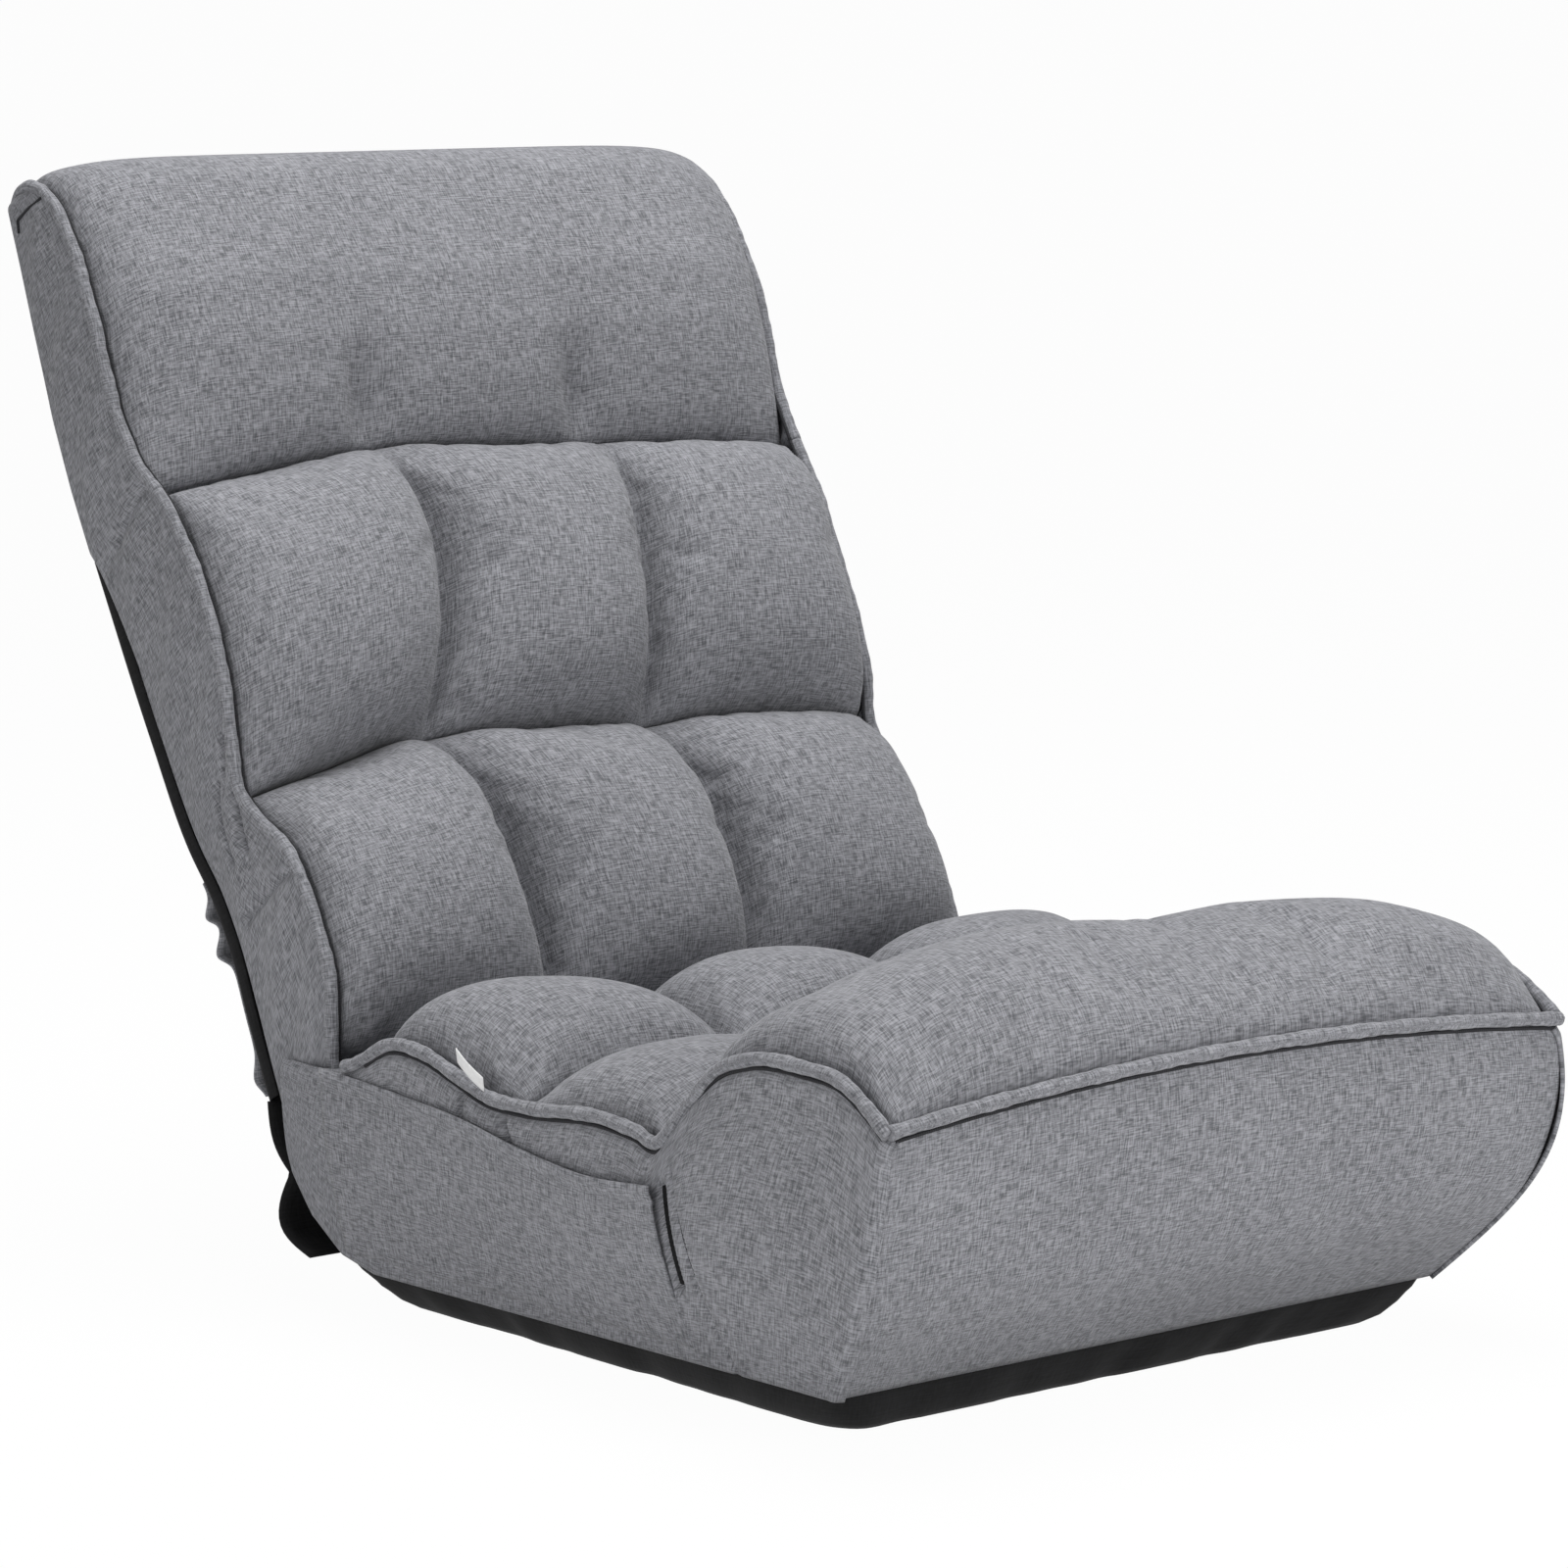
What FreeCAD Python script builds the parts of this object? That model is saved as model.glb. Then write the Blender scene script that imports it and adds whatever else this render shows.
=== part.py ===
"""Floor chair with a reclining back and a tilting headrest.

Frame: origin on the floor under the middle of the base, +Z up, the chair faces -Y. Left and right are
the sitter's: left is +X. Millimetres and degrees.
"""
import FreeCAD, Part
import math
import os
import Sketcher

Vector = FreeCAD.Vector
X_AXIS = Vector(1, 0, 0)

# Driving dimensions

SIZES = [
    ("cloth_gap", 0.3, "clearance between neighbouring pieces"),
    ("panel_wall", 3, "side and front panels: cover cloth with its wadding"),
    ("cloth_wall", 2, "a single layer of cover or lining"),
    ("piping_radius", 4, "corded seam along the panel edges"),
    ("seat_width", 640, "across the outsides of the seat's side panels"),
    ("base_width", 524, "flat of the bottom cloth, across"),
    ("base_depth", 510, "flat of the bottom cloth, front to back"),
    ("base_corner", 30, "corner radius of the flat"),
    ("hem_height", 36, "how far the bottom cloth turns up"),
    ("hem_front", 275, "rim of the bottom cloth, forward of the origin"),
    ("hem_rear", 296, "rim of the bottom cloth, behind the origin"),
    ("hem_corner", 22, "corner radius of the rim"),
    ("panel_bottom", 32, "lower edge of the side and front panels"),
    ("panel_rear", 308, "rear edge of the seat's side panels"),
    ("panel_corner", 83, "radius of their lower rear corner"),
    ("front_reach", 366, "front panel's top edge, forward of the origin"),
    ("front_height", 235, "height of that edge"),
    ("belly_reach", 352, "front panel half way down"),
    ("belly_height", 120, "height of that point"),
    ("foam_height", 150, "top of the seat foam"),
    ("foam_bevel", 18, "bevel along the foam's lower sides"),
    ("pad_inset", 5, "from the side panels to the ends of the pads"),
    ("seat_rear", 206, "rear end of the seat pads"),
    ("seat_seam", 30, "seam between the two seat rows"),
    ("bolster_seam", 137, "seam behind the bolster, forward of the origin"),
    ("seat_edge", 192, "height of the pads at their seams"),
    ("seat_tail", 160, "height of the rear pad at its rear end"),
    ("rear_side_crown", 211, "rear row at its two ends"),
    ("rear_crown", 250, "rear row at the middle of a pillow"),
    ("front_side_crown", 204, "front row at its two ends"),
    ("front_crown", 236, "front row at the middle of a pillow"),
    ("bolster_side_crown", 272, "bolster at its two ends"),
    ("bolster_crown", 325, "bolster at mid-width"),
    ("bolster_peak", 262, "top of the bolster, forward of the origin"),
    ("shoulder_run", 0.3, "shoulders of the bolster: share of the way from an edge to the peak"),
    ("shoulder_rise", 0.71, "share of the peak's height that a shoulder has"),
    ("rise_reach", 173, "side panel's rise beside the bolster, forward of the origin"),
    ("rise_height", 238, "height of that place"),
    ("wing_rear", 235, "rear end of the side panel's high part, forward of the origin"),
    ("wing_front", 320, "front end of that part, forward of the origin"),
    ("wing_height", 254, "height of that part"),
    ("flank_share", 0.7, "what is left of a pillow's crown half way to a channel"),
    ("channel_share", 0.2, "what a sewn channel leaves of it"),
    ("end_share", 0.85, "what is left of it half way to the end of a row"),
    ("pocket_front", 139, "front end of the side pockets, forward of the origin"),
    ("pocket_rear", 255, "rear end of the side pockets"),
    ("pocket_bottom", 45, "bottom seam of the side pockets"),
    ("pocket_front_height", 164, "pocket mouth at its front end"),
    ("pocket_rear_height", 184, "pocket mouth at its rear end"),
    ("pocket_gape", 10, "how far the pocket stands open at the mouth"),
    ("tab_width", 5, "sewn tab, across"),
    ("tab_length", 35, "sewn tab, along"),
    ("tab_wall", 0.8, "sewn tab, folded tape"),
    ("tab_reach", 58, "sewn tab's front end, behind the origin"),
    ("tab_height", 199, "height of that end"),
    ("tab_slope", 24, "sewn tab, above level"),
    ("tube_radius", 11, "seat and back frame tubes"),
    ("tube_wall", 1.2, "wall of the frame tubes"),
    ("tube_bend", 45, "bend radius of the frame tubes, to the middle of the tube"),
    ("rail_inset", 6, "seat rails and rear tube, from the edge of the base's flat"),
    ("front_inset", 22, "seat frame's front tube, from the front edge of that flat"),
    ("strap_width", 50, "elastic straps"),
    ("strap_wall", 2, "elastic straps"),
    ("strap_count", 5, "elastic straps"),
    ("strap_pitch", 84, "between the middles of the straps"),
    ("hinge_reach", 275, "recline axis, behind the origin"),
    ("hinge_height", 120, "recline axis, above the floor"),
    ("back_angle", 30, "back at rest, from upright"),
    ("back_clear", 7, "between the side panels of the back and those of the seat"),
    ("back_front", 27, "front of the back foam, from the frame's plane"),
    ("back_rear", 45, "outside of the rear cover, from the frame's plane"),
    ("back_foot", 45, "round lower end of the back's side panels"),
    ("back_foam_foot", 42, "lower end of the back foam, along the back"),
    ("back_foam_top", 484, "upper end of the back foam"),
    ("back_start", 63, "lower end of the lower row"),
    ("back_seam", 275, "seam between the two rows of the back"),
    ("back_top", 499, "upper end of the upper row"),
    ("seam_arch", 20, "rise of the back's cross seams at mid-width"),
    ("back_edge", 33, "pads of the back at their lower and middle seams"),
    ("back_top_edge", 48, "upper row at its upper end"),
    ("back_side_crown", 64, "rows of the back at their two ends"),
    ("back_crown", 100, "rows of the back at the middle of a pillow"),
    ("cover_foot", 55, "lower end of the back's rear cover"),
    ("back_bar_low", 150, "lower cross tube of the back frame"),
    ("back_bar_high", 300, "upper cross tube of the back frame"),
    ("back_frame_top", 465, "top tube of the back frame"),
    ("head_axis", 530, "headrest axis, along the back from the recline axis"),
    ("head_angle", 20, "headrest at rest, from upright"),
    ("head_tube_radius", 9.5, "headrest frame tube"),
    ("head_frame_top", 222, "top tube of the headrest frame"),
    ("head_start", 8, "lower end of the headrest pad"),
    ("head_foam_foot", 42, "lower end of the headrest foam"),
    ("head_foam_top", 200, "upper end of the headrest foam"),
    ("head_front", 32, "front of the headrest foam, from the frame's plane"),
    ("head_rear", 38, "outside of the headrest's rear cover"),
    ("head_edge", 42, "headrest pad at its lower seam"),
    ("head_belly", 100, "fullest part of the headrest pad, along it"),
    ("head_side_crown", 47, "headrest pad at its two ends"),
    ("head_crown", 80, "headrest pad at mid-width"),
    ("head_shoulder", 205, "where the pad starts to roll over the top"),
    ("head_side_shoulder_front", 36, "front of that place at the two ends"),
    ("head_shoulder_front", 56, "front of that place at mid-width"),
    ("head_side_roll", 246, "roll over the top at the two ends"),
    ("head_roll", 268, "roll over the top at mid-width"),
    ("head_roll_front", 14, "how far forward that is"),
    ("head_top", 252, "top of the headrest at its rear"),
    ("crease_dip", 12, "slack of the crease cloth behind the seat"),
    ("head_crease_dip", 3, "slack of the crease cloth below the headrest"),
    ("head_rear_dip", 4, "slack of the cloth behind the headrest hinge"),
    ("gusset_foot", 36, "loose rear cloth: height of its lower end"),
    ("gusset_waist", 96, "height of the waist between its two folds"),
    ("gusset_waist_reach", 313, "that waist, behind the origin"),
    ("gusset_low_fold", 30, "slack of the fold below the waist"),
    ("gusset_high_fold", 9, "slack of the fold above the waist"),
    ("plate_wall", 3, "hinge arms"),
    ("cover_wall", 2, "hinge cover plates"),
    ("plate_gap", 0.3, "between the plates of a hinge"),
    ("weld_gap", 0.2, "between an arm and the tube that it is welded to"),
    ("housing_radius", 30, "round end of the housing arm, and the cover plate"),
    ("disc_radius", 18, "toothed disc"),
    ("tooth_depth", 2.4, "ratchet teeth"),
    ("tooth_count", 15, "ratchet teeth"),
    ("tooth_span", 105, "angle that the teeth take up"),
    ("arm_width", 19, "hinge arms"),
    ("seat_arm_length", 140, "seat arm, from the axis"),
    ("seat_arm_slope", 45, "seat arm, below level"),
    ("back_arm_length", 150, "back arm, from the axis"),
    ("lower_arm_length", 160, "headrest hinge's lower arm, from the axis"),
    ("upper_arm_length", 120, "headrest hinge's upper arm, from the axis"),
    ("foot_gap", 6, "between a hinge's round end and the foot of a frame tube"),
    ("rivet_radius", 5, "pivot rivets"),
    ("rivet_head", 8, "their heads"),
    ("rivet_head_wall", 2, "thickness of their heads"),
    ("fit_gap", 0.05, "running fit on a rivet"),
    ("pawl_across", 10, "pawl's rivet, to the side of the arm's middle"),
    ("pawl_down", 24, "pawl's rivet, along the arm"),
    ("pawl_rivet_radius", 2, "pawl's rivet"),
    ("pawl_boss", 4, "round end of the pawl"),
    ("pawl_clear", 0.6, "pawl's nose to the tips of the teeth"),
    ("pawl_tip", 3, "tip of the pawl's nose, across the arm's middle"),
    ("pawl_heel", 5, "heel of the nose, across the arm's middle"),
    ("leaf_wall", 0.8, "leaf spring behind the pawl"),
    ("leaf_gap", 0.5, "between the leaf spring and the pawl"),
]

doc = FreeCAD.newDocument("floor_chair")
sheet = doc.addObject("Spreadsheet::Sheet", "sizes")
for row, (alias, number, meaning) in enumerate(SIZES, 1):
    sheet.set(f"A{row}", alias)
    sheet.set(f"B{row}", str(number))
    sheet.set(f"C{row}", meaning)
    sheet.setAlias(f"B{row}", alias)
doc.recompute()

nodes = []


def value(formula):
    """Number that a formula on the sheet's sizes gives."""
    result = sheet.evalExpression(formula)
    return float(getattr(result, "Value", result))


def keep(obj, label):
    """Name a finished sub-part; its label is the name of its file."""
    obj.Label = label
    nodes.append(obj)
    return obj


def feature(label, shape, placement=None):
    """A sub-part whose shape comes from Part's own functions."""
    obj = doc.addObject("Part::Feature", label)
    obj.Shape = shape
    if placement is not None:
        obj.Placement = placement
    return keep(obj, label)


def mirrored(source, label):
    """The same piece on the sitter's right."""
    obj = doc.addObject("Part::Mirroring", label)
    obj.Source = source
    obj.Base = Vector(0, 0, 0)
    obj.Normal = X_AXIS
    return keep(obj, label)


def pair(source, label):
    """One node with a left and a right solid."""
    twin = doc.addObject("Part::Mirroring", f"{label}_twin")
    twin.Source = source
    twin.Base = Vector(0, 0, 0)
    twin.Normal = X_AXIS
    group = doc.addObject("Part::Compound", label)
    group.Links = [source, twin]
    return keep(group, label)


# Places that several pieces share

GAP = value("sizes.cloth_gap")
PANEL = value("sizes.panel_wall")
HINGE = Vector(0, value("sizes.hinge_reach"), value("sizes.hinge_height"))
LEAN = Vector(0, value("sin(sizes.back_angle)"), value("cos(sizes.back_angle)"))
HEAD_HINGE = HINGE + LEAN * value("sizes.head_axis")
BACK_PLACE = FreeCAD.Placement(HINGE, FreeCAD.Rotation(X_AXIS, -value("sizes.back_angle")))
HEAD_PLACE = FreeCAD.Placement(HEAD_HINGE, FreeCAD.Rotation(X_AXIS, -value("sizes.head_angle")))

# Formulas for the layers across a hinge line, from the seat rail inwards
RAIL_X = "(sizes.base_width / 2 - sizes.rail_inset - sizes.tube_radius)"
FRAME_FRONT = "(sizes.base_depth / 2 - sizes.front_inset - sizes.tube_radius)"
FRAME_REAR = "(sizes.base_depth / 2 - sizes.rail_inset - sizes.tube_radius)"
SEAT_ARM_X = f"({RAIL_X} - sizes.tube_radius - sizes.weld_gap - sizes.plate_wall)"
BACK_ARM_X = f"({SEAT_ARM_X} - sizes.plate_gap - sizes.plate_wall)"
SEAT_COVER_X = f"({BACK_ARM_X} - sizes.plate_gap - sizes.cover_wall)"
BACK_RAIL_X = f"({BACK_ARM_X} - sizes.weld_gap - sizes.tube_radius)"
# and from the back rail outwards
LOWER_ARM_X = f"({BACK_RAIL_X} + sizes.tube_radius + sizes.weld_gap)"
UPPER_ARM_X = f"({LOWER_ARM_X} + sizes.plate_wall + sizes.plate_gap)"
HEAD_COVER_X = f"({UPPER_ARM_X} + sizes.plate_wall + sizes.plate_gap)"
HEAD_RAIL_X = f"({UPPER_ARM_X} + sizes.plate_wall + sizes.weld_gap + sizes.head_tube_radius)"
# height of the seat rails' middle: they lie on the bottom cloth
RAIL_Z = "(sizes.cloth_wall + sizes.cloth_gap + sizes.tube_radius)"
HEAD_Y = "(sizes.hinge_reach + sizes.head_axis * sin(sizes.back_angle))"
HEAD_Z = "(sizes.hinge_height + sizes.head_axis * cos(sizes.back_angle))"


# Sketch helpers: every corner and radius is bound to the sheet

def origin_feature(body, role):
    return next(item for item in body.Origin.OriginFeatures if item.Role == role)


def new_sketch(body, role, offset=None):
    sketch = body.newObject("Sketcher::SketchObject", f"{body.Name}_outline")
    sketch.AttachmentSupport = [(origin_feature(body, role), "")]
    sketch.MapMode = "FlatFace"
    if offset is not None:
        sketch.setExpression("AttachmentOffset.Base.z", offset)
    return sketch


def bind(sketch, kind, first, formula):
    """Add one dimension to a sketch and tie it to the sheet."""
    index = sketch.addConstraint(Sketcher.Constraint(kind, *first, value(formula)))
    sketch.setExpression(f"Constraints[{index}]", formula)


def bind_point(sketch, edge, end, across, up):
    bind(sketch, "DistanceX", (-1, 1, edge, end), across)
    bind(sketch, "DistanceY", (-1, 1, edge, end), up)


def add_circle(sketch, radius, across="0 mm", up="0 mm"):
    centre = Vector(value(across), value(up), 0)
    edge = sketch.addGeometry(Part.Circle(centre, Vector(0, 0, 1), value(radius)))
    bind_point(sketch, edge, 3, across, up)
    bind(sketch, "Radius", (edge,), radius)


def add_polygon(sketch, corners):
    points = [Vector(value(across), value(up), 0) for across, up in corners]
    edges = [
        sketch.addGeometry(Part.LineSegment(point, points[(index + 1) % len(points)]))
        for index, point in enumerate(points)
    ]
    for index, edge in enumerate(edges):
        following = edges[(index + 1) % len(edges)]
        sketch.addConstraint(Sketcher.Constraint("Coincident", edge, 2, following, 1))
        bind_point(sketch, edge, 1, *corners[index])


def add_rounded_run(sketch, corners, radius, closed):
    """Straight runs along X and Y with an arc of one radius at each corner."""
    places = [Vector(value(across), value(up), 0) for across, up in corners]
    bend = value(radius)
    count = len(corners)
    last = count if closed else count - 1
    runs = []
    for index in range(last):
        here, there = places[index], places[(index + 1) % count]
        along = (there - here).normalize()
        trimmed = []
        for end, place, sign in ((index, here, 1), ((index + 1) % count, there, -1)):
            rounded = closed or 0 < end < count - 1
            shift = along * (bend * sign) if rounded else Vector()
            trimmed.append((place + shift, end, rounded, along * sign))
        edge = sketch.addGeometry(Part.LineSegment(trimmed[0][0], trimmed[1][0]))
        runs.append(edge)
        for end_index, (_, corner, rounded, step) in enumerate(trimmed, 1):
            across, up = corners[corner]
            if rounded and abs(step.x) > 0.5:
                across = f"({across}) + ({round(step.x)}) * {radius}"
            if rounded and abs(step.y) > 0.5:
                up = f"({up}) + ({round(step.y)}) * {radius}"
            bind_point(sketch, edge, end_index, across, up)
    for index in range(len(runs) if closed else len(runs) - 1):
        first, second = runs[index], runs[(index + 1) % len(runs)]
        start = sketch.Geometry[first].EndPoint
        end = sketch.Geometry[second].StartPoint
        corner = places[(index + 1) % count]
        centre = start + end - corner
        middle = centre + (corner - centre).normalize() * bend
        arc = sketch.addGeometry(Part.Arc(start, middle, end))
        ends = [sketch.Geometry[arc].StartPoint, sketch.Geometry[arc].EndPoint]
        at_start = 1 if ends[0].distanceToPoint(start) < ends[1].distanceToPoint(start) else 2
        sketch.addConstraint(Sketcher.Constraint("Coincident", first, 2, arc, at_start))
        sketch.addConstraint(Sketcher.Constraint("Coincident", second, 1, arc, 3 - at_start))
        bind(sketch, "Radius", (arc,), radius)


def pad(body, sketch, length, both_ways=False):
    extrusion = body.newObject("PartDesign::Pad", f"{body.Name}_pad")
    extrusion.Profile = sketch
    extrusion.setExpression("Length", length)
    extrusion.Midplane = both_ways
    return extrusion


def pocket(body, sketch):
    cut = body.newObject("PartDesign::Pocket", f"{body.Name}_cut")
    cut.Profile = sketch
    cut.Type = "ThroughAll"
    cut.Midplane = True
    return cut


def hollow(body, sketch, length, both_ways):
    bore = pocket(body, sketch)
    bore.Type = "Length"
    bore.setExpression("Length", length)
    bore.Midplane = both_ways
    return bore


def place(body, across, along, up, turn):
    """Bind a body's place, and its turn about the X axis, to the sheet."""
    body.Placement = FreeCAD.Placement(Vector(), FreeCAD.Rotation(X_AXIS, value(turn) or 1))
    body.setExpression("Placement.Base.x", across)
    body.setExpression("Placement.Base.y", along)
    body.setExpression("Placement.Base.z", up)
    body.setExpression("Placement.Rotation.Angle", turn)


# Shape helpers for lofted and cut cloth

def line(start, end):
    return Part.LineSegment(start, end).toShape()


def arc(start, middle, end):
    return Part.Arc(start, middle, end).toShape()


def seat_point(x, along, height):
    """A point of the seat: along is Y, height is Z."""
    return Vector(x, along, height)


def back_point(x, along, height):
    """A point of the back or headrest in its own frame: height stands forward of the frame's plane."""
    return Vector(x, -height, along)


def extrude_across(edges, half_width):
    """A YZ outline drawn at X = 0, run across the chair."""
    face = Part.Face(Part.Wire(edges))
    face.translate(Vector(-half_width, 0, 0))
    return face.extrude(Vector(2 * half_width, 0, 0))


def panel(edges, inner_x):
    """A YZ outline drawn at X = 0, as a panel whose inner side lies at inner_x."""
    face = Part.Face(Part.Wire(edges))
    face.translate(Vector(inner_x, 0, 0))
    return face.extrude(Vector(PANEL, 0, 0))


def slack(start, end, depth):
    """Middle of a strip between two lips, moved square to the line between them."""
    return (start + end) * 0.5 + X_AXIS.cross(end - start).normalize() * depth


def band(start, middle, end, wall):
    """Profile of a strip of cloth that follows one arc."""
    circle = arc(start, middle, end).Curve
    centre = circle.Center
    shrink = (circle.Radius - wall) / circle.Radius
    inner = [centre + (point - centre) * shrink for point in (start, middle, end)]
    return [
        arc(start, middle, end),
        line(end, inner[2]),
        arc(inner[2], inner[1], inner[0]),
        line(inner[0], start),
    ]


def piping(edges, x, side, rounded):
    """A cord along the free edge of a panel, clear of the edge by the cloth gap.

    Its corners, where the edge is drawn in at a seam, are rounded or run smoothly through.
    """
    radius = value("sizes.piping_radius")
    route = Part.Wire(edges).makeOffset2D(side * (radius + GAP), 0, False, True)
    route.translate(Vector(x, 0, 0))
    first = route.OrderedEdges[0]
    start = route.OrderedVertexes[0].Point
    tangent = first.tangentAt(first.FirstParameter)
    profile = Part.Wire(Part.makeCircle(radius, start, tangent))
    return route.makePipeShell([profile], True, False, 2 if rounded else 0)


def both_halves(half_width, fullness):
    """Evenly spaced stations across the chair, from the fullness of a pad at the middle to its end."""
    step = half_width / (len(fullness) - 1)
    right_half = [(index * step, share) for index, share in enumerate(fullness)]
    left_half = [(-x, share) for x, share in reversed(right_half[1:])]
    return left_half + right_half


def pillow_stations(half_width):
    """Stations across a row of three pillows: middle, flank, channel, flank, middle, near the end, end."""
    flank = value("sizes.flank_share")
    fullness = [1, flank, value("sizes.channel_share"), flank, 1, value("sizes.end_share"), 0]
    return both_halves(half_width, fullness)


def roll_stations(half_width):
    """Stations across a pad with no channels, drawn in towards its ends."""
    count = 6
    return both_halves(half_width, [math.sqrt(1 - (index / count) ** 4) for index in range(count + 1)])


def arch(x, half_width):
    """Rise of a cross seam of the back at a place across it."""
    return value("sizes.seam_arch") * (1 - (x / half_width) ** 2)


def tufted_row(point, half_width, start, end, floor, edges, crowns):
    """A row of three pillows, lofted across the chair through sections of lines and one arc.

    start and end give the seam lines across the row, edges the pad's height there.
    """
    sections = []
    for x, fullness in pillow_stations(half_width):
        top = crowns[0] + fullness * (crowns[1] - crowns[0])
        corners = [
            point(x, start(x), floor),
            point(x, end(x), floor),
            point(x, end(x), edges[1]),
            point(x, (start(x) + end(x)) / 2, top),
            point(x, start(x), edges[0]),
        ]
        sections.append(Part.Wire([
            line(corners[0], corners[1]),
            line(corners[1], corners[2]),
            arc(corners[2], corners[3], corners[4]),
            line(corners[4], corners[0]),
        ]))
    return Part.makeLoft(sections, True, False)


# Bottom cloth: a black tray of stiff cloth that turns up round the base

def rim_loop(sketch, half_width, front, rear, corner):
    add_rounded_run(sketch, [
        (f"-({half_width})", f"-({front})"),
        (half_width, f"-({front})"),
        (half_width, rear),
        (f"-({half_width})", rear),
    ], corner, True)


bottom = doc.addObject("PartDesign::Body", "bottom_cloth")
RIM_X = "sizes.seat_width / 2 - sizes.panel_wall - sizes.cloth_gap"
WALL = "sizes.cloth_wall"
LEVELS = [
    ("sizes.base_width / 2", "sizes.base_depth / 2", "sizes.base_depth / 2", "sizes.base_corner", "0 mm"),
    (RIM_X, "sizes.hem_front", "sizes.hem_rear", "sizes.hem_corner", "sizes.hem_height * 1 mm"),
]
for kind, shrink in (("PartDesign::AdditiveLoft", "0"), ("PartDesign::SubtractiveLoft", WALL)):
    loops = []
    for half_width, front, rear, corner, height in LEVELS:
        level = height if shrink == "0" or height != "0 mm" else f"{WALL} * 1 mm"
        loop = new_sketch(bottom, "XY_Plane", level)
        rim_loop(loop, f"{half_width} - {shrink}", f"{front} - {shrink}", f"{rear} - {shrink}",
                 f"({corner} - {shrink})")
        loops.append(loop)
    loft = bottom.newObject(kind, "bottom_loft")
    loft.Profile = loops[0]
    loft.Sections = loops[1:]
keep(bottom, "bottom_cloth")

# Steel frames: bent and welded tube


def arch_frame(label, rail_x, foot, top, radius, bars):
    """An upturned U of hollow tube in a plane of its own, with straight cross tubes."""
    body = doc.addObject("PartDesign::Body", label)
    route = new_sketch(body, "XZ_Plane")
    add_rounded_run(route, [
        (rail_x, foot),
        (rail_x, top),
        (f"-({rail_x})", top),
        (f"-({rail_x})", foot),
    ], "sizes.tube_bend", False)

    def run_tube(kind, size):
        section = new_sketch(body, "XY_Plane", f"({foot}) * 1 mm")
        add_circle(section, size, rail_x)
        tube = body.newObject(kind, f"{label}_tube")
        tube.Profile = section
        tube.Spine = (route, [])

    def cross_tubes(run, size):
        for level in bars:
            rung = new_sketch(body, "YZ_Plane")
            add_circle(rung, size, "0 mm", level)
            run(body, rung, f"2 * {rail_x}", True)

    bore_radius = f"({radius} - sizes.tube_wall)"
    run_tube("PartDesign::AdditivePipe", radius)
    cross_tubes(pad, radius)
    run_tube("PartDesign::SubtractivePipe", bore_radius)
    cross_tubes(hollow, bore_radius)
    return keep(body, label)


TUBE_FOOT = "sizes.housing_radius + sizes.foot_gap"
seat_frame = arch_frame("seat_frame", RAIL_X, f"-{FRAME_REAR} - sizes.tube_radius", FRAME_FRONT,
                        "sizes.tube_radius", (f"-{FRAME_REAR}", "0 mm"))
place(seat_frame, "0", "0", RAIL_Z, "90")
back_frame = arch_frame("back_frame", BACK_RAIL_X, TUBE_FOOT, "sizes.back_frame_top",
                        "sizes.tube_radius", ("sizes.back_bar_low", "sizes.back_bar_high"))
place(back_frame, "0", "sizes.hinge_reach", "sizes.hinge_height", "-sizes.back_angle")
head_frame = arch_frame("head_frame", HEAD_RAIL_X, TUBE_FOOT, "sizes.head_frame_top",
                        "sizes.head_tube_radius", ())
place(head_frame, "0", HEAD_Y, HEAD_Z, "-sizes.head_angle")

# Elastic straps, laid over the seat frame's front and rear tubes

strap_level = f"{RAIL_Z} + sizes.tube_radius + sizes.cloth_gap"
straps = []
for index in range(int(value("sizes.strap_count"))):
    strap = doc.addObject("Part::Box", f"strap_{index + 1}")
    strap.setExpression("Length", "sizes.strap_width")
    strap.setExpression("Width", f"{FRAME_FRONT} + {FRAME_REAR} + 2 * sizes.tube_radius")
    strap.setExpression("Height", "sizes.strap_wall")
    strap.setExpression(
        "Placement.Base.x",
        f"({index} - (sizes.strap_count - 1) / 2) * sizes.strap_pitch - sizes.strap_width / 2",
    )
    strap.setExpression("Placement.Base.y", f"-{FRAME_FRONT} - sizes.tube_radius")
    strap.setExpression("Placement.Base.z", strap_level)
    straps.append(strap)
webbing = doc.addObject("Part::Compound", "seat_webbing")
webbing.Links = straps
keep(webbing, "seat_webbing")

# Ratchet hinges: housing arm, toothed arm, cover, rivets, pawl and leaf spring

FIT_RIVET = "sizes.rivet_radius + sizes.fit_gap"
FIT_PAWL = "sizes.pawl_rivet_radius + sizes.fit_gap"
PAWL_Y = "sizes.pawl_across"
PAWL_Z = "-sizes.pawl_down"
NOSE_Z = "-(sizes.disc_radius + sizes.pawl_clear)"


def arm_outline(body, length, direction):
    """Flat arm from the axis to its welded end."""
    outline = new_sketch(body, "YZ_Plane")
    half = "sizes.arm_width / 2"
    add_polygon(outline, [
        (f"-{half}", "0 mm"),
        (half, "0 mm"),
        (half, f"{direction} * {length}"),
        (f"-{half}", f"{direction} * {length}"),
    ])
    pad(body, outline, "sizes.plate_wall")


def round_end(body, radius, wall):
    disc = new_sketch(body, "YZ_Plane")
    add_circle(disc, radius)
    pad(body, disc, wall)


def bore(body, radius, across="0 mm", up="0 mm"):
    hole = new_sketch(body, "YZ_Plane")
    add_circle(hole, radius, across, up)
    pocket(body, hole)


def housing_arm(label, length):
    body = doc.addObject("PartDesign::Body", label)
    round_end(body, "sizes.housing_radius", "sizes.plate_wall")
    arm_outline(body, length, "-1")
    bore(body, FIT_RIVET)
    bore(body, FIT_PAWL, PAWL_Y, PAWL_Z)
    return body


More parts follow.
